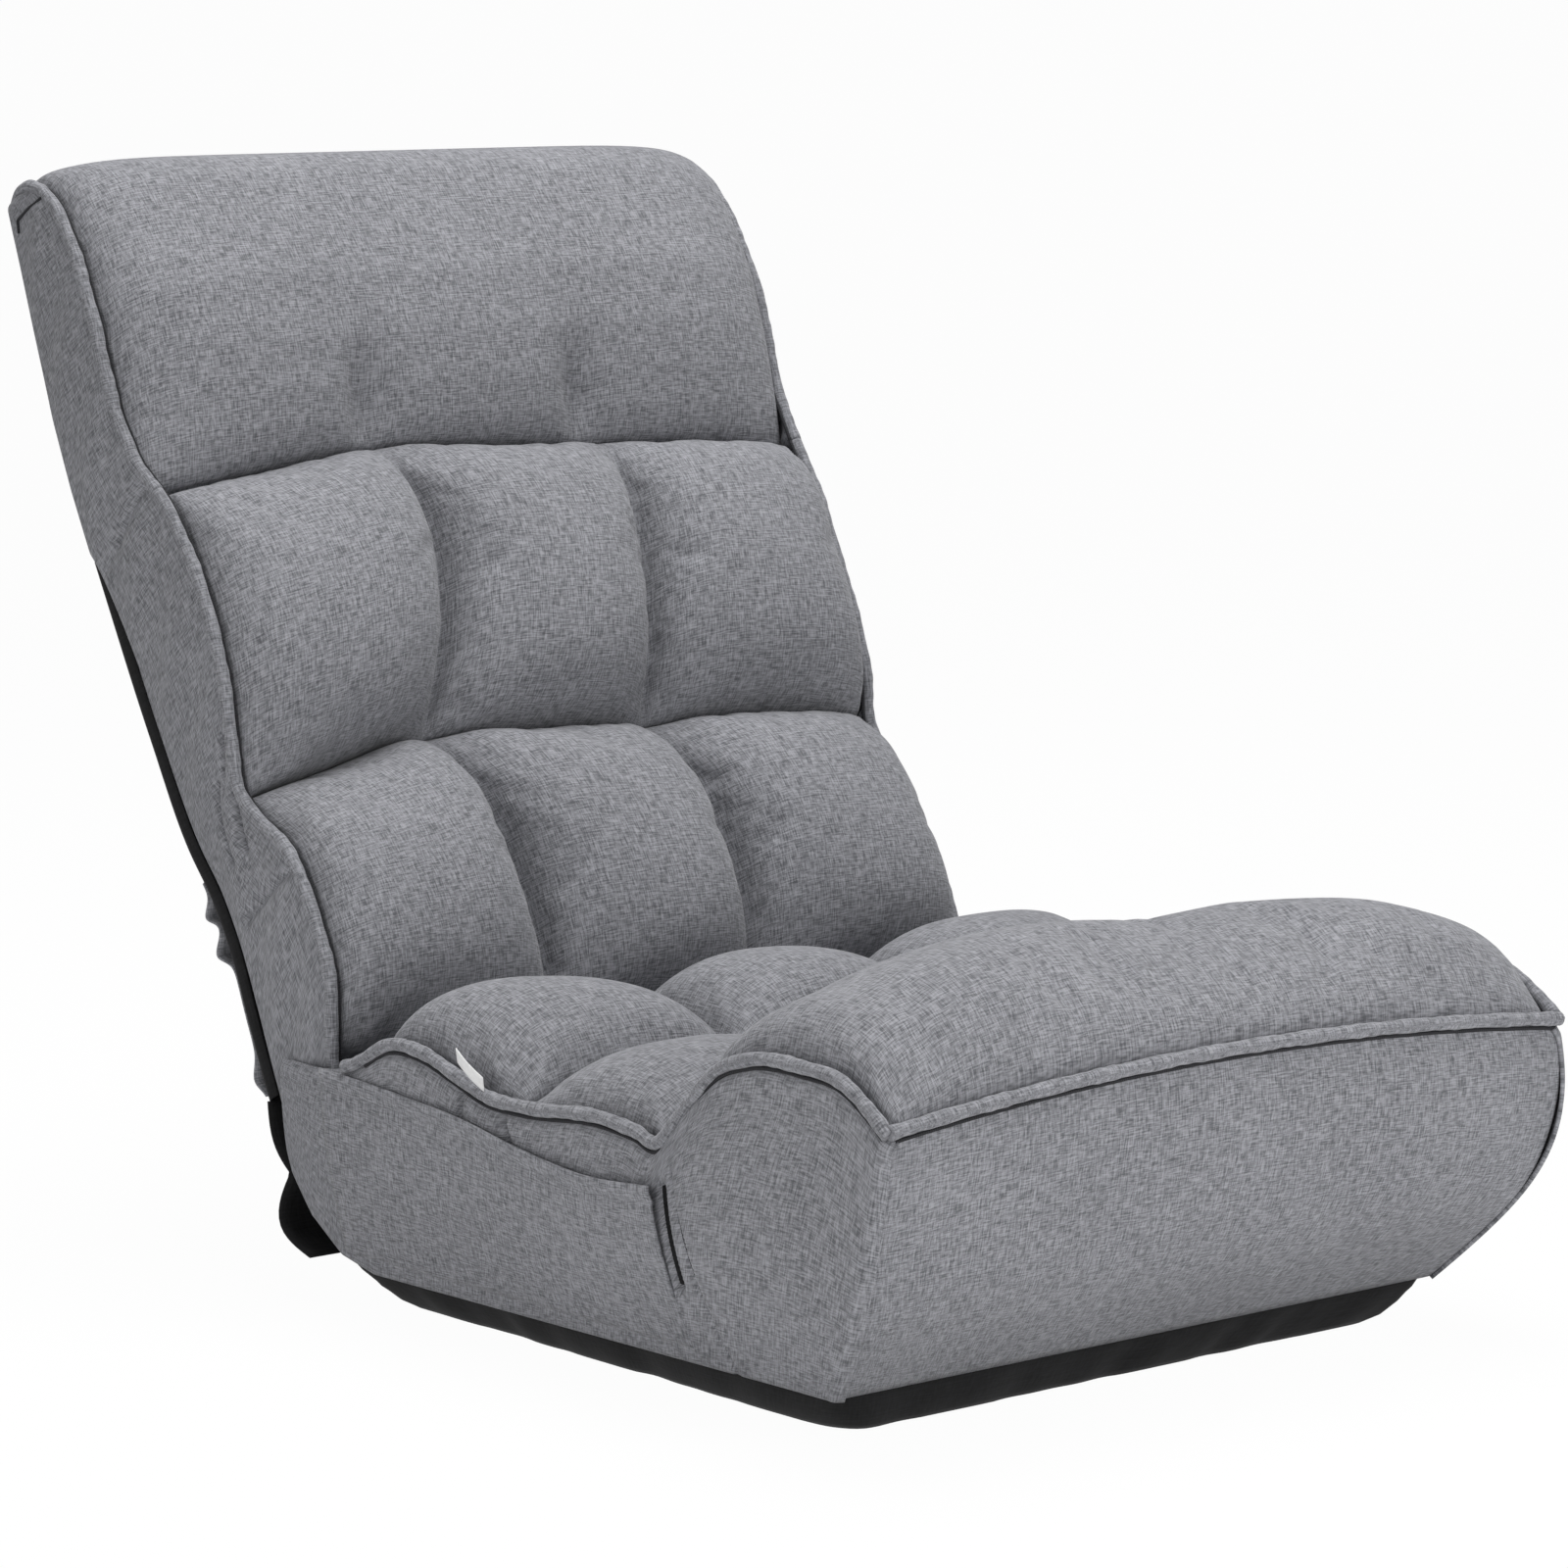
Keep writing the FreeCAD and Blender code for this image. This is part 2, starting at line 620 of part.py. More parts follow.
def toothed_arm(label, length):
    body = doc.addObject("PartDesign::Body", label)
    round_end(body, "sizes.disc_radius", "sizes.plate_wall")
    arm_outline(body, length, "1")
    bore(body, FIT_RIVET)
    notch = new_sketch(body, "YZ_Plane")
    notch.AttachmentOffset = FreeCAD.Placement(Vector(), FreeCAD.Rotation(Vector(0, 0, 1), -1))
    notch.setExpression("AttachmentOffset.Rotation.Angle", "-sizes.tooth_span / 2")
    add_polygon(notch, [
        ("0 mm", "-sizes.disc_radius - sizes.tooth_depth"),
        ("sizes.tooth_depth", "-sizes.disc_radius - sizes.tooth_depth"),
        ("0 mm", "-sizes.disc_radius + sizes.tooth_depth"),
    ])
    tooth_gap = pocket(body, notch)
    teeth = body.newObject("PartDesign::PolarPattern", f"{label}_teeth")
    teeth.Originals = [tooth_gap]
    teeth.Axis = (origin_feature(body, "X_Axis"), [""])
    teeth.setExpression("Angle", "sizes.tooth_span")
    teeth.setExpression("Occurrences", "sizes.tooth_count")
    body.Tip = teeth
    return body


def cover_plate(label):
    body = doc.addObject("PartDesign::Body", label)
    round_end(body, "sizes.housing_radius", "sizes.cover_wall")
    bore(body, FIT_RIVET)
    bore(body, FIT_PAWL, PAWL_Y, PAWL_Z)
    return body


STACK = "(2 * sizes.plate_wall + sizes.cover_wall + 2 * sizes.plate_gap)"


def pivot_rivet(label):
    """Turned rivet with a head at each end, drawn as a half section and revolved about X."""
    body = doc.addObject("PartDesign::Body", label)
    section = new_sketch(body, "XY_Plane")
    head = "sizes.rivet_head_wall"
    total = f"{STACK} + {head}"
    add_polygon(section, [
        (f"-{head}", "0 mm"),
        (f"-{head}", "sizes.rivet_head"),
        ("0 mm", "sizes.rivet_head"),
        ("0 mm", "sizes.rivet_radius"),
        (STACK, "sizes.rivet_radius"),
        (STACK, "sizes.rivet_head"),
        (total, "sizes.rivet_head"),
        (total, "0 mm"),
    ])
    turning = body.newObject("PartDesign::Revolution", f"{label}_turning")
    turning.Profile = section
    turning.ReferenceAxis = (section, ["H_Axis"])
    turning.Angle = 360
    return body


def pawl_lever(label):
    body = doc.addObject("PartDesign::Body", label)
    outline = new_sketch(body, "YZ_Plane")
    add_polygon(outline, [
        (PAWL_Y, f"{PAWL_Z} + sizes.pawl_boss"),
        ("-sizes.pawl_tip", NOSE_Z),
        ("-sizes.pawl_heel", f"{NOSE_Z} - sizes.tooth_depth"),
        (f"{PAWL_Y} - sizes.pawl_boss", f"{PAWL_Z} - sizes.pawl_boss"),
        (PAWL_Y, f"{PAWL_Z} - sizes.pawl_boss"),
    ])
    pad(body, outline, "sizes.plate_wall")
    round_end_sketch = new_sketch(body, "YZ_Plane")
    add_circle(round_end_sketch, "sizes.pawl_boss", PAWL_Y, PAWL_Z)
    pad(body, round_end_sketch, "sizes.plate_wall")
    bore(body, FIT_PAWL, PAWL_Y, PAWL_Z)
    return body


def leaf_spring(label):
    """Flat spring that lies along the back of the pawl."""
    body = doc.addObject("PartDesign::Body", label)
    outline = new_sketch(body, "YZ_Plane")
    near_y = "-sizes.pawl_heel"
    near_z = f"{NOSE_Z} - sizes.tooth_depth - sizes.leaf_gap"
    far_y = f"{PAWL_Y} - sizes.pawl_boss"
    far_z = f"{PAWL_Z} - sizes.pawl_boss - sizes.leaf_gap"
    add_polygon(outline, [
        (near_y, near_z),
        (far_y, far_z),
        (far_y, f"{far_z} - sizes.leaf_wall"),
        (near_y, f"{near_z} - sizes.leaf_wall"),
    ])
    pad(body, outline, "sizes.plate_wall")
    return body


def pawl_rivet(label):
    body = doc.addObject("PartDesign::Body", label)
    round_sketch = new_sketch(body, "YZ_Plane")
    add_circle(round_sketch, "sizes.pawl_rivet_radius", PAWL_Y, PAWL_Z)
    pad(body, round_sketch, STACK)
    return body


def ratchet_hinge(names, layers, axis, housing_turn, toothed_turn, lengths):
    """One hinge line: the left pieces are built and the right ones mirrored."""
    housing_x, toothed_x, cover_x, stack_x = layers
    housing = housing_arm(f"{names['housing']}_left", lengths[0])
    toothed = toothed_arm(f"{names['toothed']}_left", lengths[1])
    cover = cover_plate(f"{names['hinge']}_cover_left")
    place(housing, housing_x, *axis, housing_turn)
    place(toothed, toothed_x, *axis, toothed_turn)
    place(cover, cover_x, *axis, housing_turn)
    for body in (housing, toothed, cover):
        keep(body, body.Name)
        mirrored(body, body.Name.replace("_left", "_right"))
    grouped = [
        (pivot_rivet(f"{names['hinge']}_rivet"), stack_x, f"{names['hinge']}_pivot_rivets"),
        (pawl_lever(f"{names['hinge']}_pawl"), toothed_x, f"{names['hinge']}_pawls"),
        (leaf_spring(f"{names['hinge']}_leaf"), toothed_x, f"{names['hinge']}_pawl_springs"),
        (pawl_rivet(f"{names['hinge']}_pin"), stack_x, f"{names['hinge']}_pawl_rivets"),
    ]
    for body, across, label in grouped:
        place(body, across, *axis, housing_turn)
        pair(body, label)


ratchet_hinge(
    {"housing": "recline_seat_arm", "toothed": "recline_back_arm", "hinge": "recline"},
    (SEAT_ARM_X, BACK_ARM_X, SEAT_COVER_X, SEAT_COVER_X),
    ("sizes.hinge_reach", "sizes.hinge_height"),
    "-sizes.seat_arm_slope",
    "-sizes.back_angle",
    ("sizes.seat_arm_length", "sizes.back_arm_length"),
)
ratchet_hinge(
    {"housing": "headrest_back_arm", "toothed": "headrest_arm", "hinge": "headrest"},
    (LOWER_ARM_X, UPPER_ARM_X, HEAD_COVER_X, LOWER_ARM_X),
    (HEAD_Y, HEAD_Z),
    "-sizes.back_angle",
    "-sizes.head_angle",
    ("sizes.lower_arm_length", "sizes.upper_arm_length"),
)

# Seat foam, on the straps

SEAT_HALF = value("sizes.seat_width / 2 - sizes.panel_wall")
SEAT_PAD_HALF = SEAT_HALF - value("sizes.pad_inset")
FRONT_TOP = Vector(0, -value("sizes.front_reach"), value("sizes.front_height"))
FRONT_BELLY = Vector(0, -value("sizes.belly_reach"), value("sizes.belly_height"))
FRONT_FOOT = Vector(
    0,
    -value("sizes.hem_front + sizes.cloth_gap + sizes.panel_wall"),
    value("sizes.panel_bottom"),
)
front_circle = arc(FRONT_TOP, FRONT_BELLY, FRONT_FOOT).Curve
INNER_FRONT_RADIUS = front_circle.Radius - PANEL - GAP


def behind_front_panel(height):
    """Y just behind the front panel at a height."""
    rise = height - front_circle.Center.z
    return front_circle.Center.y - math.sqrt(INNER_FRONT_RADIUS ** 2 - rise ** 2)


def front_profile(low, high):
    """Arc just behind the front panel between two heights, drawn at X = 0."""
    points = [Vector(0, behind_front_panel(z), z) for z in (low, (low + high) / 2, high)]
    return arc(*points)


foam_floor = value(f"{strap_level} + sizes.strap_wall + sizes.cloth_gap")
foam_top = value("sizes.foam_height")
foam_bevel = value("sizes.foam_bevel")
foam_sill = foam_floor + 1.5 * foam_bevel
foam_front = -value("sizes.base_depth / 2") + GAP
foam_rear = value("sizes.seat_rear")
foam_rear_low = foam_rear - (foam_top - foam_floor) / 2
foam_corners = [
    Vector(0, foam_front, foam_floor),
    Vector(0, behind_front_panel(foam_sill), foam_sill),
    Vector(0, behind_front_panel(foam_top), foam_top),
    Vector(0, foam_rear, foam_top),
    Vector(0, foam_rear_low, foam_floor),
]
foam_edges = [
    line(foam_corners[0], foam_corners[1]),
    front_profile(foam_sill, foam_top),
    line(foam_corners[2], foam_corners[3]),
    line(foam_corners[3], foam_corners[4]),
    line(foam_corners[4], foam_corners[0]),
]
foam_block = extrude_across(foam_edges, SEAT_PAD_HALF)
low_sides = [
    edge for edge in foam_block.Edges
    if edge.BoundBox.ZMax < foam_floor + GAP and edge.BoundBox.XLength < GAP
]
feature("seat_foam", foam_block.makeChamfer(foam_bevel, low_sides))

# Seat pads: two tufted rows and the front bolster

seat_floor = foam_top + GAP
seat_edge = value("sizes.seat_edge")
seat_seam = value("sizes.seat_seam")
bolster_seam = -value("sizes.bolster_seam")
feature("seat_rear_pad", tufted_row(
    seat_point, SEAT_PAD_HALF, lambda x: seat_seam + GAP, lambda x: foam_rear, seat_floor,
    (seat_edge, value("sizes.seat_tail")),
    (value("sizes.rear_side_crown"), value("sizes.rear_crown"))))
feature("seat_front_pad", tufted_row(
    seat_point, SEAT_PAD_HALF, lambda x: bolster_seam + GAP, lambda x: seat_seam, seat_floor,
    (seat_edge, seat_edge),
    (value("sizes.front_side_crown"), value("sizes.front_crown"))))
piping_radius = value("sizes.piping_radius")
bolster_lip = FRONT_TOP + Vector(0, PANEL / 2 + piping_radius + GAP, 0)


def between(edge, peak):
    """Shoulder of the bolster between one of its edges and its peak."""
    run = value("sizes.shoulder_run")
    rise = value("sizes.shoulder_rise")
    return Vector(peak.x, edge.y + run * (peak.y - edge.y), edge.z + rise * (peak.z - edge.z))


def bolster_section(x, fullness):
    """Section of the bolster: flat below and behind, two arcs over the top."""
    side = value("sizes.bolster_side_crown")
    peak = Vector(x, -value("sizes.bolster_peak"), side + fullness * (value("sizes.bolster_crown") - side))
    front_low = Vector(x, behind_front_panel(seat_floor), seat_floor)
    front_high = Vector(x, bolster_lip.y, bolster_lip.z)
    rear_high = Vector(x, bolster_seam, seat_edge)
    rear_low = Vector(x, bolster_seam, seat_floor)
    return Part.Wire([
        line(rear_low, front_low),
        line(front_low, front_high),
        arc(front_high, between(front_high, peak), peak),
        arc(peak, between(rear_high, peak), rear_high),
        line(rear_high, rear_low),
    ])


bolster_sections = [bolster_section(x, fullness) for x, fullness in roll_stations(SEAT_PAD_HALF)]
feature("front_bolster_pad", Part.makeLoft(bolster_sections, True, False))

# Seat panels: front panel between the two side panels

front_edges = band(FRONT_TOP, FRONT_BELLY, FRONT_FOOT, PANEL)
feature("front_panel", extrude_across(front_edges, SEAT_HALF - GAP))

rear_y = value("sizes.panel_rear")
foot_z = value("sizes.panel_bottom")
corner = value("sizes.panel_corner")
wing_top = value("sizes.wing_height")
wing_start = Vector(0, -value("sizes.wing_rear"), wing_top)
panel_top = [
    line(Vector(0, rear_y, seat_edge), Vector(0, foam_rear, seat_edge)),
    arc(Vector(0, foam_rear, seat_edge),
        Vector(0, (foam_rear + seat_seam) / 2, value("sizes.rear_side_crown")),
        Vector(0, seat_seam, seat_edge)),
    arc(Vector(0, seat_seam, seat_edge),
        Vector(0, (seat_seam + bolster_seam) / 2, value("sizes.front_side_crown")),
        Vector(0, bolster_seam, seat_edge)),
    arc(Vector(0, bolster_seam, seat_edge),
        Vector(0, -value("sizes.rise_reach"), value("sizes.rise_height")),
        wing_start),
    arc(wing_start, Vector(0, -value("sizes.wing_front"), wing_top), FRONT_TOP),
]
panel_rest = [
    arc(FRONT_TOP, FRONT_BELLY, FRONT_FOOT),
    line(FRONT_FOOT, Vector(0, rear_y - corner, foot_z)),
    arc(Vector(0, rear_y - corner, foot_z),
        Vector(0, rear_y - corner * (1 - math.sqrt(0.5)), foot_z + corner * (1 - math.sqrt(0.5))),
        Vector(0, rear_y, foot_z + corner)),
    line(Vector(0, rear_y, foot_z + corner), Vector(0, rear_y, seat_edge)),
]
seat_side = feature("seat_side_panel_left", panel(panel_top + panel_rest, SEAT_HALF))
mirrored(seat_side, "seat_side_panel_right")

# Side pockets: a flat pouch on each side panel, open at the top


def pocket_prism(inset):
    """Pouch body: a wedge that leans out towards its mouth, cut to the pocket's outline."""
    inner_x = SEAT_HALF + PANEL + GAP
    wall = value("sizes.cloth_wall")
    foot = value("sizes.pocket_bottom") + inset
    head = value("sizes.pocket_rear_height") + inset * 2
    front = -value("sizes.pocket_front") + inset
    rear = value("sizes.pocket_rear") - inset
    foot_x = inner_x + wall - inset
    head_x = inner_x + value("sizes.pocket_gape") + wall - inset
    wedge = Part.makePolygon([
        Vector(inner_x - inset, front, foot),
        Vector(foot_x + inset, front, foot),
        Vector(head_x, front, head),
        Vector(inner_x - inset, front, head),
        Vector(inner_x - inset, front, foot),
    ])
    solid = Part.Face(wedge).extrude(Vector(0, rear - front, 0))
    mouth_drop = value("sizes.pocket_rear_height - sizes.pocket_front_height")
    outline = Part.makePolygon([
        Vector(0, front, foot),
        Vector(0, rear, foot),
        Vector(0, rear, head),
        Vector(0, front, head - mouth_drop),
        Vector(0, front, foot),
    ])
    slab = Part.Face(outline).extrude(Vector(2 * head_x, 0, 0))
    return solid.common(slab)


side_pocket = feature("side_pocket_left", pocket_prism(0).cut(pocket_prism(value("sizes.cloth_wall"))))
mirrored(side_pocket, "side_pocket_right")

# Piping on the seat: up each side and along the front

side_x = SEAT_HALF + PANEL / 2
seat_cord = piping(panel_top, side_x, 1, rounded=True)
front_cord_half = SEAT_HALF - piping_radius - GAP
front_cord = Part.makeCylinder(
    piping_radius,
    2 * front_cord_half,
    FRONT_TOP + Vector(-front_cord_half, PANEL / 2, piping_radius + GAP),
    X_AXIS,
)
right_cord = seat_cord.mirror(Vector(), X_AXIS)
feature("seat_piping", Part.makeCompound([seat_cord, right_cord, front_cord]))

# Back and headrest, each in its own frame: foam, pads, side panels, rear cover, piping

BACK_HALF = SEAT_HALF - value("sizes.back_clear + sizes.panel_wall")
BACK_PAD_HALF = BACK_HALF - value("sizes.pad_inset")
tube_face = value("sizes.tube_radius") + GAP
back_edge = value("sizes.back_edge")
back_top_edge = value("sizes.back_top_edge")
back_start = value("sizes.back_start")
back_seam = value("sizes.back_seam")
back_top = value("sizes.back_top")


def slab(half_width, front, rear, foot, top):
    """A flat block of foam or cloth across the back, from rear to front of the frame's plane."""
    return Part.makeBox(2 * half_width, front - rear, top - foot, Vector(-half_width, -front, foot))


feature("back_foam", slab(
    BACK_PAD_HALF, value("sizes.back_front"), tube_face,
    value("sizes.back_foam_foot"), value("sizes.back_foam_top")), BACK_PLACE)


def back_seam_line(x):
    return back_seam + arch(x, BACK_PAD_HALF)


def back_top_line(x):
    return back_top + arch(x, BACK_PAD_HALF)


back_floor = value("sizes.back_front") + GAP
back_crowns = (value("sizes.back_side_crown"), value("sizes.back_crown"))
feature("back_lower_pad", tufted_row(
    back_point, BACK_PAD_HALF, lambda x: back_start, lambda x: back_seam_line(x) - GAP,
    back_floor, (back_edge, back_edge), back_crowns), BACK_PLACE)
feature("back_upper_pad", tufted_row(
    back_point, BACK_PAD_HALF, back_seam_line, back_top_line,
    back_floor, (back_edge, back_top_edge), back_crowns), BACK_PLACE)

cover_rear = -value("sizes.back_rear")
cover_wall = value("sizes.cloth_wall")
feature("back_rear_cover", slab(
    BACK_HALF - GAP, cover_rear + cover_wall, cover_rear,
    value("sizes.cover_foot"), back_top), BACK_PLACE)

foot_radius = value("sizes.back_foot")
back_front_edge = [
    arc(back_point(0, back_top, back_top_edge),
        back_point(0, (back_top + back_seam) / 2, value("sizes.back_side_crown")),
        back_point(0, back_seam, back_edge)),
    arc(back_point(0, back_seam, back_edge),
        back_point(0, (back_seam + back_start) / 2, value("sizes.back_side_crown")),
        back_point(0, back_start, back_edge)),
]
back_outline = back_front_edge + [
    line(back_point(0, back_start, back_edge), back_point(0, 0, foot_radius)),
    arc(back_point(0, 0, foot_radius), back_point(0, -foot_radius, 0), back_point(0, 0, -foot_radius)),
    line(back_point(0, 0, -foot_radius), back_point(0, back_top, -foot_radius)),
    line(back_point(0, back_top, -foot_radius), back_point(0, back_top, back_top_edge)),
]
back_side = feature("back_side_panel_left", panel(back_outline, BACK_HALF), BACK_PLACE)
mirrored(back_side, "back_side_panel_right")
back_cord = piping(back_front_edge, BACK_HALF + PANEL / 2, 1, rounded=True)
back_cords = Part.makeCompound([back_cord, back_cord.mirror(Vector(), X_AXIS)])
feature("back_piping", back_cords, BACK_PLACE)

HEAD_HALF = SEAT_HALF
HEAD_PAD_HALF = HEAD_HALF - value("sizes.pad_inset")
head_start = value("sizes.head_start")
head_edge = value("sizes.head_edge")
head_shoulder = value("sizes.head_shoulder")
head_top = value("sizes.head_top")
head_rear = value("sizes.head_rear")
head_cover_rear = -head_rear
feature("head_foam", slab(
    HEAD_PAD_HALF, value("sizes.head_front"), value("sizes.head_tube_radius") + GAP,
    value("sizes.head_foam_foot"), value("sizes.head_foam_top")), HEAD_PLACE)


def head_start_line(x):
    return head_start + arch(x, HEAD_PAD_HALF)


def head_front_edges(x, fullness):
    """Front of the headrest from its lower seam up and over the top, as two arcs."""
    side = value("sizes.head_side_crown")
    crown = side + fullness * (value("sizes.head_crown") - side)
    side_shoulder = value("sizes.head_side_shoulder_front")
    shoulder = side_shoulder + fullness * (value("sizes.head_shoulder_front") - side_shoulder)
    side_roll = value("sizes.head_side_roll")
    roll_top = side_roll + fullness * (value("sizes.head_roll") - side_roll)
    low = back_point(x, head_start_line(x), head_edge)
    belly = back_point(x, value("sizes.head_belly"), crown)
    turn = back_point(x, head_shoulder, shoulder)
    roll = back_point(x, roll_top, value("sizes.head_roll_front"))
    rear = back_point(x, head_top, cover_wall - head_rear)
    return [arc(low, belly, turn), arc(turn, roll, rear)]


def head_section(x, fullness):
    """Section of the headrest pad: it covers the foam's front and lies over the frame's top tube."""
    floor = value("sizes.head_front") + GAP
    tube = value("sizes.head_tube_radius") + GAP
    ledge = value("sizes.head_frame_top") + tube
    low = back_point(x, head_start_line(x), head_edge)
    rear = back_point(x, head_top, cover_wall - head_rear)
    rear_low = back_point(x, ledge, cover_wall - head_rear)
    over_tube = back_point(x, ledge, tube)
    over_foam = back_point(x, value("sizes.head_foam_top") + GAP, floor)
    foot = back_point(x, head_start_line(x), floor)
    return Part.Wire(head_front_edges(x, fullness) + [
        line(rear, rear_low),
        line(rear_low, over_tube),
        line(over_tube, over_foam),
        line(over_foam, foot),
        line(foot, low),
    ])


head_sections = [head_section(x, fullness) for x, fullness in roll_stations(HEAD_PAD_HALF)]
feature("head_pad", Part.makeLoft(head_sections, True, False), HEAD_PLACE)
feature("head_rear_cover", slab(
    HEAD_HALF - GAP, head_cover_rear + cover_wall - GAP, head_cover_rear - GAP,
    head_start, head_top), HEAD_PLACE)
head_front_edge = [
    edge.translated(Vector(-HEAD_PAD_HALF, 0, 0)) for edge in head_front_edges(HEAD_PAD_HALF, 0)
]
head_rear_top = back_point(0, head_top, -head_rear - GAP)
head_outline = head_front_edge + [
    line(back_point(0, head_top, cover_wall - head_rear), head_rear_top),
    line(head_rear_top, back_point(0, head_start, -head_rear - GAP)),
    line(back_point(0, head_start, -head_rear - GAP), back_point(0, head_start, head_edge)),
]
head_side = feature("head_side_panel_left", panel(head_outline, HEAD_HALF), HEAD_PLACE)
mirrored(head_side, "head_side_panel_right")
head_cord = piping(head_front_edge, HEAD_HALF + PANEL / 2, -1, rounded=False)
head_cords = Part.makeCompound([head_cord, head_cord.mirror(Vector(), X_AXIS)])
feature("head_piping", head_cords, HEAD_PLACE)

# Cloth strips across the two creases, and the loose cloth behind the recline hinge


def cloth_run(profile):
    """A strip of cloth across the back, lofted through its profile at even stations."""
    stations = both_halves(BACK_PAD_HALF, [0, 0, 0, 0])
    return Part.makeLoft([Part.Wire(profile(x)) for x, _ in stations], True, False)


def crease_profile(x):
    """From the tail of the rear seat pad to the foot of the back's lower row."""
    seat_lip = Vector(x, foam_rear + GAP, value("sizes.seat_tail") - cover_wall)
    back_lip = BACK_PLACE.multVec(back_point(x, back_start - GAP, back_edge - cover_wall))
    return band(seat_lip, slack(seat_lip, back_lip, -value("sizes.crease_dip")), back_lip, cover_wall)


def head_crease_profile(x):
    """From the top of the back's upper row to the foot of the headrest pad."""
    upper_lip = back_point(x, back_top_line(x) + cover_wall, back_top_edge - cover_wall)
    head_foot = HEAD_PLACE.multVec(back_point(x, head_start_line(x) - 2 * GAP, head_edge - cover_wall))
    head_lip = BACK_PLACE.inverse().multVec(head_foot)
    return band(upper_lip, slack(upper_lip, head_lip, -value("sizes.head_crease_dip")), head_lip, -cover_wall)


def head_rear_profile(x):
    """Behind the headrest hinge, from the back's rear cover to the headrest's."""
    lower_lip = back_point(x, back_top + GAP, cover_rear)
    head_foot = HEAD_PLACE.multVec(back_point(x, head_start - GAP, -head_rear))
    head_lip = BACK_PLACE.inverse().multVec(head_foot)
    return band(lower_lip, slack(lower_lip, head_lip, value("sizes.head_rear_dip")), head_lip, cover_wall)


feature("crease_cloth", cloth_run(crease_profile))
feature("headrest_rear_cloth", cloth_run(head_rear_profile), BACK_PLACE)
feature("headrest_crease_cloth", cloth_run(head_crease_profile), BACK_PLACE)

gusset_foot = Vector(0, value("sizes.hem_rear") + GAP, value("sizes.gusset_foot"))
gusset_waist = Vector(0, value("sizes.gusset_waist_reach"), value("sizes.gusset_waist"))
gusset_top = BACK_PLACE.multVec(back_point(0, value("sizes.cover_foot") - GAP, cover_rear))
gusset_line = Part.Wire([
    arc(gusset_foot, slack(gusset_foot, gusset_waist, -value("sizes.gusset_low_fold")), gusset_waist),
    arc(gusset_waist, slack(gusset_waist, gusset_top, -value("sizes.gusset_high_fold")), gusset_top),
])
gusset_face = gusset_line.makeOffset2D(cover_wall, 0, True, True)
gusset_half = BACK_HALF - GAP
gusset_face.translate(Vector(-gusset_half, 0, 0))
feature("rear_gusset", gusset_face.extrude(Vector(2 * gusset_half, 0, 0)))

# Sewn tab: a bare end of white tape in the right-hand seam, lying along the piping

tab = doc.addObject("Part::Box", "sewn_tab")
tab.setExpression("Length", "sizes.tab_wall")
tab.setExpression("Width", "sizes.tab_length")
tab.setExpression("Height", "sizes.tab_width")
place(
    tab,
    "-(sizes.seat_width / 2 - sizes.panel_wall / 2 + sizes.piping_radius + sizes.cloth_gap + sizes.tab_wall)",
    "sizes.tab_reach",
    "sizes.tab_height",
    "sizes.tab_slope",
)
keep(tab, "sewn_tab")

# Check every object, then write one file for each sub-part

doc.recompute()
for obj in doc.Objects:
    if "Invalid" in obj.State or "Error" in obj.State:
        raise RuntimeError(f"{obj.Label} failed: {obj.State}")
for obj in nodes:
    if obj.Shape.isNull() or not obj.Shape.isValid() or not obj.Shape.Solids:
        raise RuntimeError(f"{obj.Label} has no valid solid")
os.makedirs("parts", exist_ok=True)
for obj in nodes:
    obj.Shape.exportStep(f"parts/{obj.Label}.step")
print(len(nodes), "nodes")
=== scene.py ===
import math
import bmesh
import bpy
import numpy as np
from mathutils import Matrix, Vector


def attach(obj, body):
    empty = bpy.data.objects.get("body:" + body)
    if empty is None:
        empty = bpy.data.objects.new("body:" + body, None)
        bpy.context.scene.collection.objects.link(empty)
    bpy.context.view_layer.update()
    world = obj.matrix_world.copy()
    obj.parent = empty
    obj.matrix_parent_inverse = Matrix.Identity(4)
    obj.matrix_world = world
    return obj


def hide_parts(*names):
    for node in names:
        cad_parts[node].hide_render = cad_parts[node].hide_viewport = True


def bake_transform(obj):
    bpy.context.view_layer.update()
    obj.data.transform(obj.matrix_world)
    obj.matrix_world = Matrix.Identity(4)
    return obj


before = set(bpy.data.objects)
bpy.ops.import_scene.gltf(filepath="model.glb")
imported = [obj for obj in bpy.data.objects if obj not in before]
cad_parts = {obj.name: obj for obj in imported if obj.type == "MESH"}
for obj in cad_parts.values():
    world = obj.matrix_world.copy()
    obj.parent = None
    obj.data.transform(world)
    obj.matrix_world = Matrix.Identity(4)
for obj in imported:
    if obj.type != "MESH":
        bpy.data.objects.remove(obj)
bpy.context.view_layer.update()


# Bottom cloth: black woven polypropylene under the seat, turned up round the base.
# Its soft hem is tacked inside the lower edge of the grey panels and stands in shallow waves.

